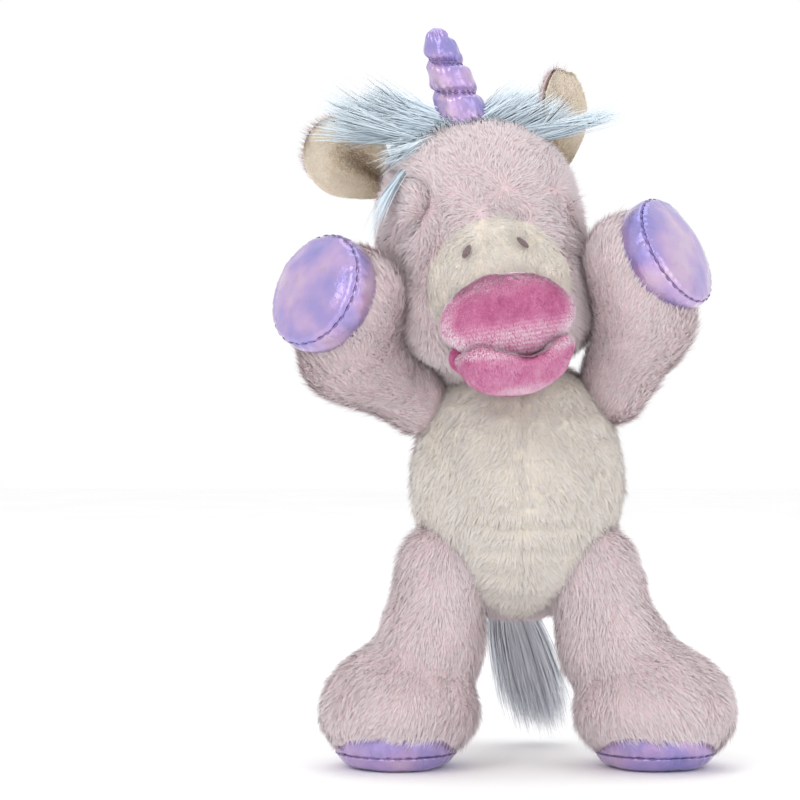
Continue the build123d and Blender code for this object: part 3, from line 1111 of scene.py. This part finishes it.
def make_hoof(limb, seed, resting):
    """The foil band and the padded sole, with the stitched seam between them."""
    name = limb.name
    turn = frame_along(limb.facing)
    r = limb.hoof_r / MM
    band_len = 4.3
    band = turned(
        name + "_foil_band",
        [(r - 2.6, -band_len - 4), (r - 1.2, -band_len - 1.5), (r, -band_len + 2), (r + 0.3, 0.4),
         (r + 0.1, band_len - 1.6), (r - 0.3, band_len - 0.3), (r - 1.3, band_len + 0.3)],
        limb.band, turn, around=192, rows=40, shape=puckers(seed, 22, 0.55, band_len, 3.2),
    )
    seam_h = band_len + 0.5
    top = (limb.sole - limb.band) @ limb.facing / MM + 2.4
    if resting:
        profile = [(r - 1.5, seam_h - 0.4), (r - 0.8, seam_h + 0.3), (r - 1.3, seam_h + 1.2),
                   (r - 3.6, top - 1.7), (r - 7.5, top - 0.2), (r * 0.55, top), (r * 0.3, top),
                   (0.6, top)]
    else:
        profile = [(r - 1.5, seam_h - 0.4), (r - 0.9, seam_h + 0.3), (r - 1.7, seam_h + 1.4),
                   (r - 4.2, top - 2.2), (r * 0.66, top - 0.9), (r * 0.42, top - 0.2),
                   (r * 0.2, top + 0.1), (0.6, top + 0.2)]
    shape = puckers(seed + 5, 26, 0.6, seam_h, 2.6)

    def settle(rr, hh, aa):
        rr, hh = shape(rr, hh, aa)
        return rr, np.minimum(hh, top) if resting else hh

    sole = turned(name + "_foil_sole", profile, limb.band, turn, around=192, rows=56, shape=settle)
    rng = np.random.default_rng(seed)
    centre = limb.band + limb.facing * seam_h * MM
    stitches = 34
    turn_each = 2 * math.pi / stitches
    paths = []
    for i in range(stitches):
        start = turn_each * (i + 0.1 * rng.random())
        paths.append(ring_path(centre, limb.facing, (r - 0.55) * MM, start, turn_each * 0.62, 5))
    seam = thread(name + "_hoof_stitches", paths, radius=0.26)
    dress(band, FOIL, name, "foil_cloth", name + "_hoof_band", fill=0.9)
    dress(sole, FOIL, name, "foil_cloth", name + "_hoof_sole", fill=0.9)
    dress(seam, THREAD, name, "thread", name + "_hoof_seam")


# ---------------------------------------------------------------- mouth
def carved(field, *others, gap=0.0, k=2.0):
    """A field with others, grown by gap mm, cut away with a soft edge k mm wide."""

    def cut(p):
        d = field(p)
        for o in others:
            e = gap * MM - o(p)
            h = np.clip(0.5 - 0.5 * (d - e) / (k * MM), 0, 1)
            d = d * (1 - h) + e * h + k * MM * h * (1 - h)
        return d

    return cut


def make_mouth():
    """The velour snout pad over the lower lip, and a darker copy of the velour where they fold in,
    painted shade for that fold.
    """
    low, high = low_high("mouth_pad")
    pad_field = blend(
        3 * MM,
        ball(on_face(0, -50.5, 21), 25.4, 9.5, 15.8),
        ball(on_face(0, -52.5, 24), 21.0, 10.0, 11.5),
    )
    pad = skin("mouth_velour", pad_field, low - 8 * MM, high + 8 * MM, 0.9 * MM)
    co, no, _ = arrays(pad)
    lift_skin(pad, co, no, 0.6 * noise(co, 9 * MM, 3) + 0.2 * noise(co, 3 * MM, 5))
    fold_mid = on_face(0, -43, 8.5)
    side = skin(
        "mouth_sides",
        ball(fold_mid, 23.8, 9.5, 10.5),
        fold_mid - 40 * MM, fold_mid + 40 * MM, 1.1 * MM,
    )
    lip_low, lip_high = low_high("lower_lip")
    opening = ball(on_face(3.5, -62.0, 14.0), 14.5, 12.0, 6.4)
    gape = ball(on_face(5.0, -62.0, 8.6), 6.0, 11.0, 3.4)
    lip_field = carved(
        blend(
            4 * MM,
            ball(on_face(0, -50.5, 4.5), 20.5, 10.5, 12.5),
            ball(on_face(0.5, -50.5, 8), 22.0, 8.5, 6.5),
            ball(on_face(0.5, -56.0, 7.5), 20.5, 7.6, 7.6),
        ),
        pad_field, opening, gape, gap=0.5, k=3.0,
    )
    lip = skin("lip_velour", lip_field, lip_low - 9 * MM, lip_high + 9 * MM, 0.8 * MM)
    keep_largest(lip)

    def pad_tone_with_painted_light(points):
        q = head_mm(points) - FACE_SHIFT
        edge = np.sqrt((q[:, 0] / 25.8) ** 2 + ((q[:, 2] - 21) / 16.2) ** 2)
        # lower: paler low on the pad, partly the knit showing through and partly painted sheen where it
        # curves away
        lower = smooth(q[:, 2], 22.0, 14)
        ribs = np.sin(q[:, 2] * 2 * math.pi / 1.5) * 0.14 * lower
        # crown and rim: painted sheen along the pad's top and round its edge
        crown = smooth(q[:, 2] - 0.06 * q[:, 0], 27.5, 32.5)
        rim = smooth(edge, 0.74, 0.94)
        # mouth: painted shade where the pad turns in over the mouth
        mouth = np.exp(-(((q[:, 0] - 6.5) / 6.5) ** 2) - ((q[:, 2] - 5) / 3.5) ** 2)
        stroke = 0.12 * noise(points, 4 * MM, 91) + 0.10 * noise(points, 1.3 * MM, 92)
        return 0.16 + 0.55 * lower + 0.42 * crown + 0.60 * rim + 1.5 * ribs + stroke - 0.8 * mouth

    def lip_tone_with_painted_sheen(points):
        q = head_mm(points) - FACE_SHIFT
        near = pad_field(points) / MM
        smile = q[:, 2] - 0.004 * (q[:, 0] - 3.5) ** 2
        # top and bottom: painted sheen along the lip's upper edge and where it curls under
        top = np.maximum(smooth(near, 6.0, 2.0), smooth(smile, 4.5, 8.0))
        bottom = smooth(q[:, 2], -2.5, -7.0)
        stroke = 0.14 * noise(points, 3.5 * MM, 93) + 0.10 * noise(points, 1.2 * MM, 94)
        return 0.34 + 0.72 * top + 0.34 * bottom + stroke

    dress(pad, VELOUR, "head", "velour", "mouth_pad", fill=0.8)
    dress(side, VELOUR_PAINTED_SHADE, "head", "velour", fill=0.8)
    dress(lip, VELOUR, "lower_lip", "velour", "lower_lip", fill=0.8)
    for piece, body, seed, tone in ((pad, "head", 401, pad_tone_with_painted_light), (lip, "lower_lip", 402, lip_tone_with_painted_sheen)):
        nap = pile(piece.name + "_nap", piece, brushed(-HEAD_UP), length=1.1, per_cm2=1250, seed=seed,
                   width=0.2, lift=0.8, clump=0.15, clump_size=2.0, shade=0.8, sink=0.1, tone=tone)
        dress(nap, NAP, body, "velour")


def keep_largest(ob):
    """Drops every loose bit of a mesh but the largest."""
    bm = bmesh.new()
    bm.from_mesh(ob.data)
    left, groups = set(bm.verts), []
    while left:
        stack, group = [left.pop()], []
        while stack:
            v = stack.pop()
            group.append(v)
            for e in v.link_edges:
                w = e.other_vert(v)
                if w in left:
                    left.remove(w)
                    stack.append(w)
        groups.append(group)
    groups.sort(key=len)
    for group in groups[:-1]:
        bmesh.ops.delete(bm, geom=group, context="VERTS")
    bm.to_mesh(ob.data)
    bm.free()
    ob.data.shade_smooth()


def make_nostrils():
    """Two short slanting bars of satin stitch, each stitch rounded over the fur."""
    field = head_field()
    steps = np.linspace(-1, 1, 7)
    deep = HEAD_TURN[:, 1] * 25 * MM
    for side, name in ((-1, "right"), (1, "left")):
        at = middle(name + "_nostril") + on_face(0, 0, 0) - NECK
        paths = []
        for i in range(15):
            t = (i - 7) / 7
            half = 1.15 * math.sqrt(max(0.05, 1 - t * t * 0.85))
            centre = at + HEAD_TURN @ (np.array([side * -0.62, 0, 0.78]) * t * 2.5 * MM)
            across = HEAD_TURN @ (np.array([0.78, 0, side * 0.62]) * half * MM)
            stitch = []
            for u in steps:
                p = centre + across * u
                stitch.append(on_field(field, p + deep, p - deep, 2.75 - 0.55 * u * u))
            paths.append(stitch)
        piece = thread(name + "_nostril_stitches", paths, radius=0.27)
        dress(piece, BROWN_THREAD, "head", "brown_thread", name + "_nostril")


def on_field(field, inside, outside, above):
    """The point on the line between two points that lies above mm off the field."""
    for _ in range(26):
        mid = (inside + outside) / 2
        if field(mid[None])[0] < above * MM:
            inside = mid
        else:
            outside = mid
    return inside


# ---------------------------------------------------------------- ears
def stem(joint, node):
    """The joint's pivot, and columns along its axis, backwards and up towards the node."""
    root, x = pivot(joint), axis(joint)
    up = middle(node) - root
    up = unit(up - x * (up @ x))
    return root, np.stack([x, np.cross(up, x), up], 1)


def ear_sheet(u, v, layer, fold):
    """A point of the ear's cupped sheet, in mm from its root.

    u runs from -1 to 1 across the ear and v from 0 at its root to 1 at its tip. layer is how far
    the point stands behind the sheet's middle, and fold how deep the sheet is cupped.
    """
    oval = np.sqrt(np.clip(1 - ((v - 0.52) / 0.53) ** 2, 0, 1))
    width = 16.4 * oval * (0.78 + 0.22 * smooth(v, 0.0, 0.5))
    height = -4.0 + 37.0 * v
    curl = u * u
    close = smooth(v, 0.75, 0.0)
    x = width * u * (1 - 0.20 * close * curl)
    y = fold * (1 - curl) * (0.45 + 0.9 * close) - fold * 0.55 + 2.2 * v * v
    crease = np.exp(-((u - 0.10) / (0.13 + 0.22 * v)) ** 2) * smooth(v, 0.92, 0.3)
    return np.stack([x, y + 6.0 * crease + layer, height + 0 * u], -1)


def ear_skin(name, root, turn, front, back, fold, rim):
    """A closed pad between two layers of the ear's sheet, as wide as rim of it."""
    across, up = 44, 44
    u = np.sin(np.linspace(-1, 1, across) * math.pi / 2) * rim
    v = 0.52 - 0.528 * np.cos(np.linspace(0.0, 1.0, up) * math.pi) * (1.0 if rim > 0.99 else 0.97)
    uu, vv = np.meshgrid(u, v, indexing="ij")
    edge = np.clip(1 - (uu / rim) ** 2, 0, 1) ** 0.4 * np.clip(1 - (2 * vv - 1) ** 8, 0, 1) ** 0.5
    middle_layer = (front + back) / 2
    verts = []
    for layer in (front, back):
        points = ear_sheet(uu, vv, middle_layer + (layer - middle_layer) * edge, fold)
        verts.append(points.reshape(-1, 3))
    verts = root + (np.concatenate(verts) * MM) @ turn.T
    faces = []
    half = across * up
    for i in range(across - 1):
        for j in range(up - 1):
            a, b, c, d = i * up + j, i * up + j + 1, (i + 1) * up + j + 1, (i + 1) * up + j
            faces.append((a, d, c, b))
            faces.append((half + a, half + b, half + c, half + d))
    border = [(i * up, (i + 1) * up) for i in range(across - 1)]
    border += [((across - 1) * up + j, (across - 1) * up + j + 1) for j in range(up - 1)]
    border += [((i + 1) * up + up - 1, i * up + up - 1) for i in range(across - 1)]
    border += [(j + 1, j) for j in range(up - 1)]
    for a, b in border:
        faces.append((a, b, half + b, half + a))
    return drawn(name, verts, faces)


def make_ear(name, seed, fold):
    """A cupped ear: its back of pile fabric, its front a smooth cream lining with a deep fold."""
    root, turn = stem(name + "_ear_flap", name + "_ear_back")
    back = ear_skin(name + "_ear_cloth", root, turn, 0.7, 2.9, fold, 1.0)
    lining = ear_skin(name + "_ear_lining_cloth", root, turn, -1.3, 0.4, fold, 0.985)
    dress(back, PINK_CLOTH, name + "_ear", "pink_pile", name + "_ear_back")
    dress(lining, EAR_CLOTH, name + "_ear", "ear_lining", name + "_ear_lining")
    behind, up = turn[:, 1], brushed(turn[:, 2])

    def away(points, normals):
        return np.where(normals @ behind > 0.6, 1.0, 0.0)

    def facing(points, normals):
        return np.where(normals @ behind < 0.25, 1.0, 0.0)

    def painted_hollow_shade(points):
        q = (points - root) @ turn / MM
        # painted shade: the lining darker down the middle of its fold, towards the root
        deep = np.exp(-(((q[:, 0] - 1.0) / 6.5) ** 2)) * smooth(q[:, 2], 28, 17)
        return 0.95 - 0.85 * deep + 0.08 * noise(points, 3 * MM, seed)

    coat = pile(name + "_ear_pile", back, up, 3.6, COAT_DENSITY, seed, away, lift=0.5)
    dress(coat, PINK_PILE, name + "_ear", "pink_pile")
    nap = pile(name + "_ear_nap", lining, up, length=1.3, per_cm2=700, seed=seed + 3, keep=facing,
               width=0.2, sink=0.2, tone=painted_hollow_shade)
    dress(nap, EAR_NAP, name + "_ear", "ear_lining")


# ---------------------------------------------------------------- horn
def make_horn():
    """Foil cloth over stuffing, pulled into plump turns by a thread that winds up it."""
    root, turn = stem("horn_bend", "horn_casing")
    pitch, first = 12.2, 8.2

    def shape(r, h, a):
        phase = (h - first) / pitch + a / (2 * math.pi)
        near = np.abs((phase + 0.5) % 1.0 - 0.5) * pitch
        groove = np.exp(-((near / 1.7) ** 2)) * smooth(h, 1.0, 5.0) * smooth(h, 35.5, 31.0)
        p = round_axis(r, h, a)
        dent = noise(p, 5.0, 71) * 0.4 + noise(p, 2.4, 72) * 0.2
        gather = np.cos(17 * a + 2 * noise(p, 6.0, 73)) * np.exp(-((near / 3.2) ** 2)) * 0.35
        inner = smooth(r, 0.5, 4.0)
        return r + (-2.1 * groove + dent + gather) * inner, h

    profile = [(8.6, -3.0), (9.2, 1.0), (9.4, 5.0), (8.9, 11.0), (8.4, 17.0), (7.4, 23.0),
               (6.6, 28.5), (5.2, 33.2), (3.0, 36.2), (0.5, 37.4)]
    horn = turned("horn_foil", profile, root, turn, around=160, rows=150, shape=shape)
    h = np.linspace(2.5, 32.5, 150)
    a = -2 * math.pi * (h - first) / pitch
    outline = np.array([(-3.0, 8.6), (5, 9.4), (17, 8.4), (28.5, 6.6), (37.4, 0.5)])
    r = curve_through(outline[:, 0], outline[:, 1], h) - 1.95
    path = root + (round_axis(r, h, a) * MM) @ turn.T
    winding = thread("horn_winding", [path], radius=0.24)
    dress(horn, FOIL, "horn", "foil_cloth", "horn_casing", "horn_stuffing", fill=0.95)
    dress(winding, THREAD, "horn", "thread", "horn_thread")


# ---------------------------------------------------------------- long hair
# The skull that each kind of hair grows from: its middle and semi-axes, in mm on the head.
CROWN = np.array([-0.5, -5, 51.5]), np.array([40.0, 36.5, 45.0])
NAPE = np.array([-0.5, -4, 50.5]), np.array([40.0, 36.5, 43.5])


def locks(name, roots, ways, length, seed, normals, fall, width=0.26, spread=0.15):
    """Long hair: each strand leaves its root along its way and bends down under its weight.

    length and width are in mm, fall is how far it bends and spread how far the ways scatter.
    """
    rng = np.random.default_rng(seed)
    n, rows = len(roots), 9
    t = np.linspace(0, 1, rows)
    way = normalise(ways + rng.normal(size=(n, 3)) * spread)
    size = length * MM * (0.7 + 0.5 * rng.random(n))
    step = size / (rows - 1)
    pos = roots.copy()
    spine = [pos.copy()]
    sway = normalise(rng.normal(size=(n, 3)))
    for i in range(1, rows):
        pull = at_most(noise_slope(roots + np.array([0, 0, 0.4 * MM]) * i, 7 * MM, seed + 1), 1.5)
        turn = np.array([0, 0, -1.0]) * fall * t[i] + pull * 0.10 + sway * 0.06 * t[i]
        way = normalise(way + turn * (3.0 / rows))
        pos = pos + way * step[:, None]
        spine.append(pos.copy())
    spine = np.stack(spine, 1)
    tangent = normalise(np.gradient(spine, axis=1))
    side, own = facing_out(tangent, normals, rng, 0.5)
    facing = own * 0.15 + normals[:, None] * 0.85
    wide = width * MM * (0.6 + 0.7 * rng.random(n))
    tones = np.clip(0.5 + 0.18 * rng.normal(size=n) + 0.2 * noise(roots, 5 * MM, seed + 3), 0, 1)
    return strand_mesh(name, spine, side, facing, wide, tones)


def many(count):
    """How many strands of long hair to draw."""
    return max(40, int(count * (1)))


def scalp(x, y, rng, n, sx, sy):
    """Roots on the crown about (x, y) mm in the head's frame, with the crown's normals."""
    px = x + np.clip(rng.normal(size=n), -1.5, 1.5) * sx
    py = y + np.clip(rng.normal(size=n), -1.5, 1.5) * sy
    c, s = CROWN
    inside = np.clip(1 - ((px - c[0]) / s[0]) ** 2 - ((py - c[1]) / s[1]) ** 2, 0.02, 1)
    pz = c[2] + s[2] * np.sqrt(inside)
    p = np.stack([px, py, pz], 1)
    normal = normalise((p - c) / s ** 2)
    return NECK + (p * MM) @ HEAD_TURN.T, normal @ HEAD_TURN.T


def make_forelock():
    """Light-blue hair round the horn that sweeps to both sides over the brow."""
    rng = np.random.default_rng(41)
    parts = [
        # middle x, y, spread x, y, way (x, y, z), strands, length, fall, scatter
        (-9, -9, 5.5, 3.5, (-1.0, -0.10, 0.50), 1500, 33, 0.06, 0.10),
        (-12, -11, 4.5, 3, (-1.0, -0.10, 0.30), 1100, 39, 0.05, 0.08),
        (-16, -14, 4, 3, (-1.0, -0.30, -0.05), 260, 17, 0.30, 0.15),
        (-21, -17, 2.0, 1.5, (-0.72, -0.40, -0.66), 90, 36, 0.42, 0.05),
        (11, -10, 8, 3.5, (1.0, -0.10, 0.46), 1300, 20, 0.08, 0.12),
        (20, -13, 3.0, 1.5, (1.0, -0.12, -0.04), 240, 36, 0.02, 0.05),
        (0, 1, 12, 5, (0.0, 0.9, 0.35), 1400, 20, 0.7, 0.15),
        (-1, -14, 11, 2.4, (-0.3, -0.5, 0.45), 900, 7, 0.3, 0.15),
    ]
    sets = []
    for k, (x, y, sx, sy, way, n, length, fall, loose) in enumerate(parts):
        roots, normals = scalp(x, y, rng, many(n), sx, sy)
        if y < 0:
            normals = normalise(normals + [0, -0.9, 0])
        ways = np.broadcast_to(HEAD_TURN @ unit(way), roots.shape) + normals * 0.06
        sets.append(locks(f"forelock_{k}", roots, ways, length, 50 + k, normals, width=0.36, fall=fall,
                          spread=loose))
    lock = joined("forelock_hair", sets)
    dress(lock, BLUE_HAIR, "head", "blue_hair", "forelock")


def joined(name, obs):
    """Several strand objects as one, each strand with its own place on the unit square."""
    me = [o.data for o in obs]
    for i, m in enumerate(me):
        layer = m.uv_layers["OFBake"]
        uv = np.empty(len(m.loops) * 2, np.float32)
        layer.data.foreach_get("uv", uv)
        uv = uv.reshape(-1, 2)
        uv[:, 1] = (uv[:, 1] + i) / len(me)
        layer.data.foreach_set("uv", uv.ravel())
    for o in bpy.context.view_layer.objects:
        o.select_set(o in obs)
    bpy.context.view_layer.objects.active = obs[0]
    bpy.ops.object.join()
    obs[0].name = name
    return obs[0]


def make_mane():
    """Hair down the back of the head, parted along its middle."""
    rng = np.random.default_rng(61)
    n = many(6500)
    c, s = NAPE
    angle = rng.uniform(math.radians(-42), math.radians(80), n)
    x = rng.normal(size=n) * 4.0
    flat = np.sqrt(np.clip(1 - (x / s[0]) ** 2, 0.1, 1))
    p = np.stack([x, c[1] + s[1] * np.cos(angle) * flat, c[2] + s[2] * np.sin(angle) * flat], 1)
    normal = normalise((p - c) / s ** 2)
    roots = NECK + (p * MM) @ HEAD_TURN.T
    side = np.sign(x + rng.normal(size=n) * 3)
    normals = normal @ HEAD_TURN.T
    ways = np.stack([side * 0.55, 0.45 + 0 * x, -0.55 + 0 * x], 1) @ HEAD_TURN.T + normals * 0.5
    hair = locks("neck_mane_hair", roots, ways, 26, 62, normals, fall=0.9)
    dress(hair, BLUE_HAIR, "head", "blue_hair", "neck_mane")


def make_tail():
    """A sewn tab with a brush of long grey-blue hair that swings from it."""
    tab_mid = middle("tail_tab")
    profile = [(0.6, -6.0), (2.4, -5.6), (3.6, -3.6), (4.0, 0), (3.6, 2.4), (2.2, 3.4), (0.6, 3.6)]
    tab = turned("tail_tab_cloth", profile, tab_mid, frame_along((0, 1, 0)), around=48, rows=24,
                 shape=lambda r, h, a: (r + 0.25 * np.cos(9 * a) * smooth(r, 0.5, 3), h))
    dress(tab, PINK_CLOTH, "tail_tab", "pink_pile", "tail_tab")
    rng = np.random.default_rng(81)
    n = many(5600)
    top = np.array([tab_mid[0], tab_mid[1] + 3.0 * MM, tab_mid[2] + 2.0 * MM])
    way_mm = np.array([(0, 0, 0), (1.2, 5, -3), (3.5, 8.5, -15), (7.5, 10.5, -31),
                       (12.0, 10.5, -47), (15.5, 9.5, -60)])
    s = np.linspace(0, 1, 14)
    knots = np.array([0, 0.10, 0.32, 0.58, 0.82, 1.0])
    core = np.stack([curve_through(knots, way_mm[:, k], s) for k in range(3)], 1) * MM
    spread = np.interp(s, [0, 0.15, 0.45, 0.75, 1], [3.0, 6.6, 10.5, 12.0, 10.5]) * MM
    disc = np.sqrt(rng.random(n))
    around = rng.random(n) * 2 * math.pi
    off = np.stack([np.cos(around) * disc, np.sin(around) * disc * 0.8, 0 * disc], 1)
    reach = 0.42 + 0.58 * rng.random(n) ** 0.9
    u = s[None, :] * reach[:, None]
    spine = np.stack([np.interp(u, s, core[:, k]) for k in range(3)], -1)
    wide = np.interp(u, s, spread)
    swirl = noise(np.stack([around * 3, disc * 5, around * 0 + 3], 1), 1.0, 83)[:, None]
    bend = np.sin(u * 5 + swirl * 2.5) * 0.8 * MM
    spine = top + spine + off[:, None] * wide[..., None]
    spine[..., 0] += bend * u + swirl * 4.0 * MM * u
    spine[..., 1] += np.cos(u * 4 + swirl * 3) * 0.7 * MM * u
    spine = spine + np.clip(rng.normal(size=(n, 1, 3)), -1.8, 1.8) * 2.4 * MM * u[..., None]
    tangent = normalise(np.gradient(spine, axis=1))
    outward = normalise(off + rng.normal(size=(n, 3)) * 0.25)
    side, own = facing_out(tangent, outward, rng, 0.5)
    facing = own * 0.15 + outward[:, None] * 0.85
    tones = np.clip(0.5 + 0.25 * rng.normal(size=n), 0, 1)
    width = 0.36 * MM * (0.6 + 0.7 * rng.random(n))
    hair = strand_mesh("tail_brush", spine, side, facing, width, tones)
    dress(hair, GREY_HAIR, "tail", "grey_hair", "tail_hair")


# ---------------------------------------------------------------- seams and stitches
def make_seams():
    """The belly's seam and the ladder of closing stitches up the back."""
    field = egg(3.2)

    def at_depth(x, z, above, side):
        """The point at (x, z) that lies above mm off the torso, on its front (-1) or back (1)."""
        core = np.array([x, TORSO_MID[1], z])
        return on_field(field, core, core + [0, side * 60 * MM, 0], above)

    low, high = low_high("belly_seam")
    x = (low[0] + high[0]) / 2

    stitch = [(-0.25, 0), (0, 0.759), (0, 1.518), (0.25, 2.3)]
    paths = []
    for z in np.arange(low[2] + 3 * MM, high[2] - 6 * MM, 3.4 * MM):
        paths.append([at_depth(x + a * MM, z + b * MM, 0.35, -1) for a, b in stitch])
    seam = thread("belly_seam_thread", paths, radius=0.3)
    dress(seam, CREAM_THREAD, "torso", "cream_pile", "belly_seam")
    low, high = low_high("closing_stitches")
    x = (low[0] + high[0]) / 2
    paths = []
    for i, z in enumerate(np.linspace(low[2], high[2], 9)):
        slant = 0.35 if i % 2 else -0.35
        rung = []
        for px in np.linspace(-1.6, 1.6, 6):
            above = 0.5 + 0.3 * (1 - (px / 1.6) ** 2)
            rung.append(at_depth(x + px * MM, z + slant * px * MM, above, 1))
        paths.append(rung)
    ladder = thread("closing_ladder", paths, radius=0.3)
    dress(ladder, PINK_THREAD, "torso", "pink_pile", "closing_stitches")


def make_gathers():
    """The thread that gathers the cloth at the neck, shoulders and hips."""
    for body in ("neck", "right_shoulder", "left_shoulder", "right_hip", "left_hip"):
        body += "_seam"
        low, high = low_high(body)
        centre = (low + high) / 2
        at = next(np.array(j["pos_m"]) for j in JOINTS.values() if j["parent"] == body)
        shoulder = "shoulder" in body
        radius = (float(np.max(high - low)) / 2 - 0.5 * MM) * (0.42 if shoulder else 0.80)
        path = ring_path(centre, unit(at - centre), radius, points=160)
        twist = np.linspace(0, 60 * math.pi, 160)
        path = path + 0.12 * MM * np.stack([np.cos(twist), np.sin(twist), np.cos(twist)], 1)
        if shoulder:  # its thread lies in the fold at the joint
            path = path + (at - centre)
        ring = thread(body + "_thread", [path], radius=0.42)
        dress(ring, PINK_THREAD, body, "thread", body)


# ---------------------------------------------------------------- floor, light and camera
def make_stage():
    """A pale floor that the toy stands on, soft light and the camera."""
    m = Nodes("pale_floor")
    m.colour(m.ramp(m.noise(140, 2.0), (0.3, srgb(250, 250, 250)), (0.7, srgb(253, 253, 253))))
    m.set(Roughness=0.9)
    size, parts = 3.0, 24
    step = np.linspace(-size, size, parts + 1)
    verts = [(x, y, 0.0) for y in step for x in step]
    across = parts + 1
    corners = [j * across + i for j in range(parts) for i in range(parts)]
    faces = [(k, k + 1, k + across + 1, k + across) for k in corners]
    floor = drawn("floor", verts, faces)
    floor.data.materials.append(m.mat)
    lamp("key", (-0.75, -1.15, 1.15), 0.9, 5.8)
    lamp("fill", (0.95, -1.0, 0.45), 1.0, 2.9)
    lamp("low", (-0.55, -1.15, 0.10), 0.9, 1.3)
    lamp("top", (0.0, 0.25, 1.35), 1.1, 3.0)
    world = bpy.data.worlds.new("studio")
    bpy.context.scene.world = world
    world.use_nodes = True
    backdrop = world.node_tree.nodes["Background"]
    backdrop.inputs["Color"].default_value = grey(1.0)
    backdrop.inputs["Strength"].default_value = 1.0
    camera = bpy.data.cameras.new("camera")
    eye = linked("camera", camera)
    aimed(eye, (-0.0403, -1.0, 0.1405), (-0.0403, 0.0, 0.1398))
    camera.lens = 116
    camera.sensor_width = 36
    bpy.context.scene.camera = eye
    bpy.context.scene.view_settings.view_transform = "Standard"
    bpy.context.scene.view_settings.look = "None"


def aimed(ob, where, target):
    """Stands a lamp or the camera at where, looking at target."""
    ob.location = where
    ob.rotation_euler = (Vector(target) - ob.location).to_track_quat("-Z", "Y").to_euler()


def lamp(name, where, size, power):
    """A soft round lamp that lights the toy's middle."""
    light = bpy.data.lights.new(name, "AREA")
    light.shape = "DISK"
    light.size = size
    light.energy = power
    aimed(linked(name, light), where, (0, 0, 0.13))


make_torso()
make_head()
for number, limb in enumerate(LIMBS):
    make_limb(limb, 100 + 10 * number)
    make_hoof(limb, 200 + 10 * number, limb.facing[2] < -0.99)
make_mouth()
make_nostrils()
make_ear("right", seed=300, fold=9.0)
make_ear("left", seed=310, fold=8.0)
make_horn()
make_forelock()
make_mane()
make_tail()
make_seams()
make_gathers()
make_stage()
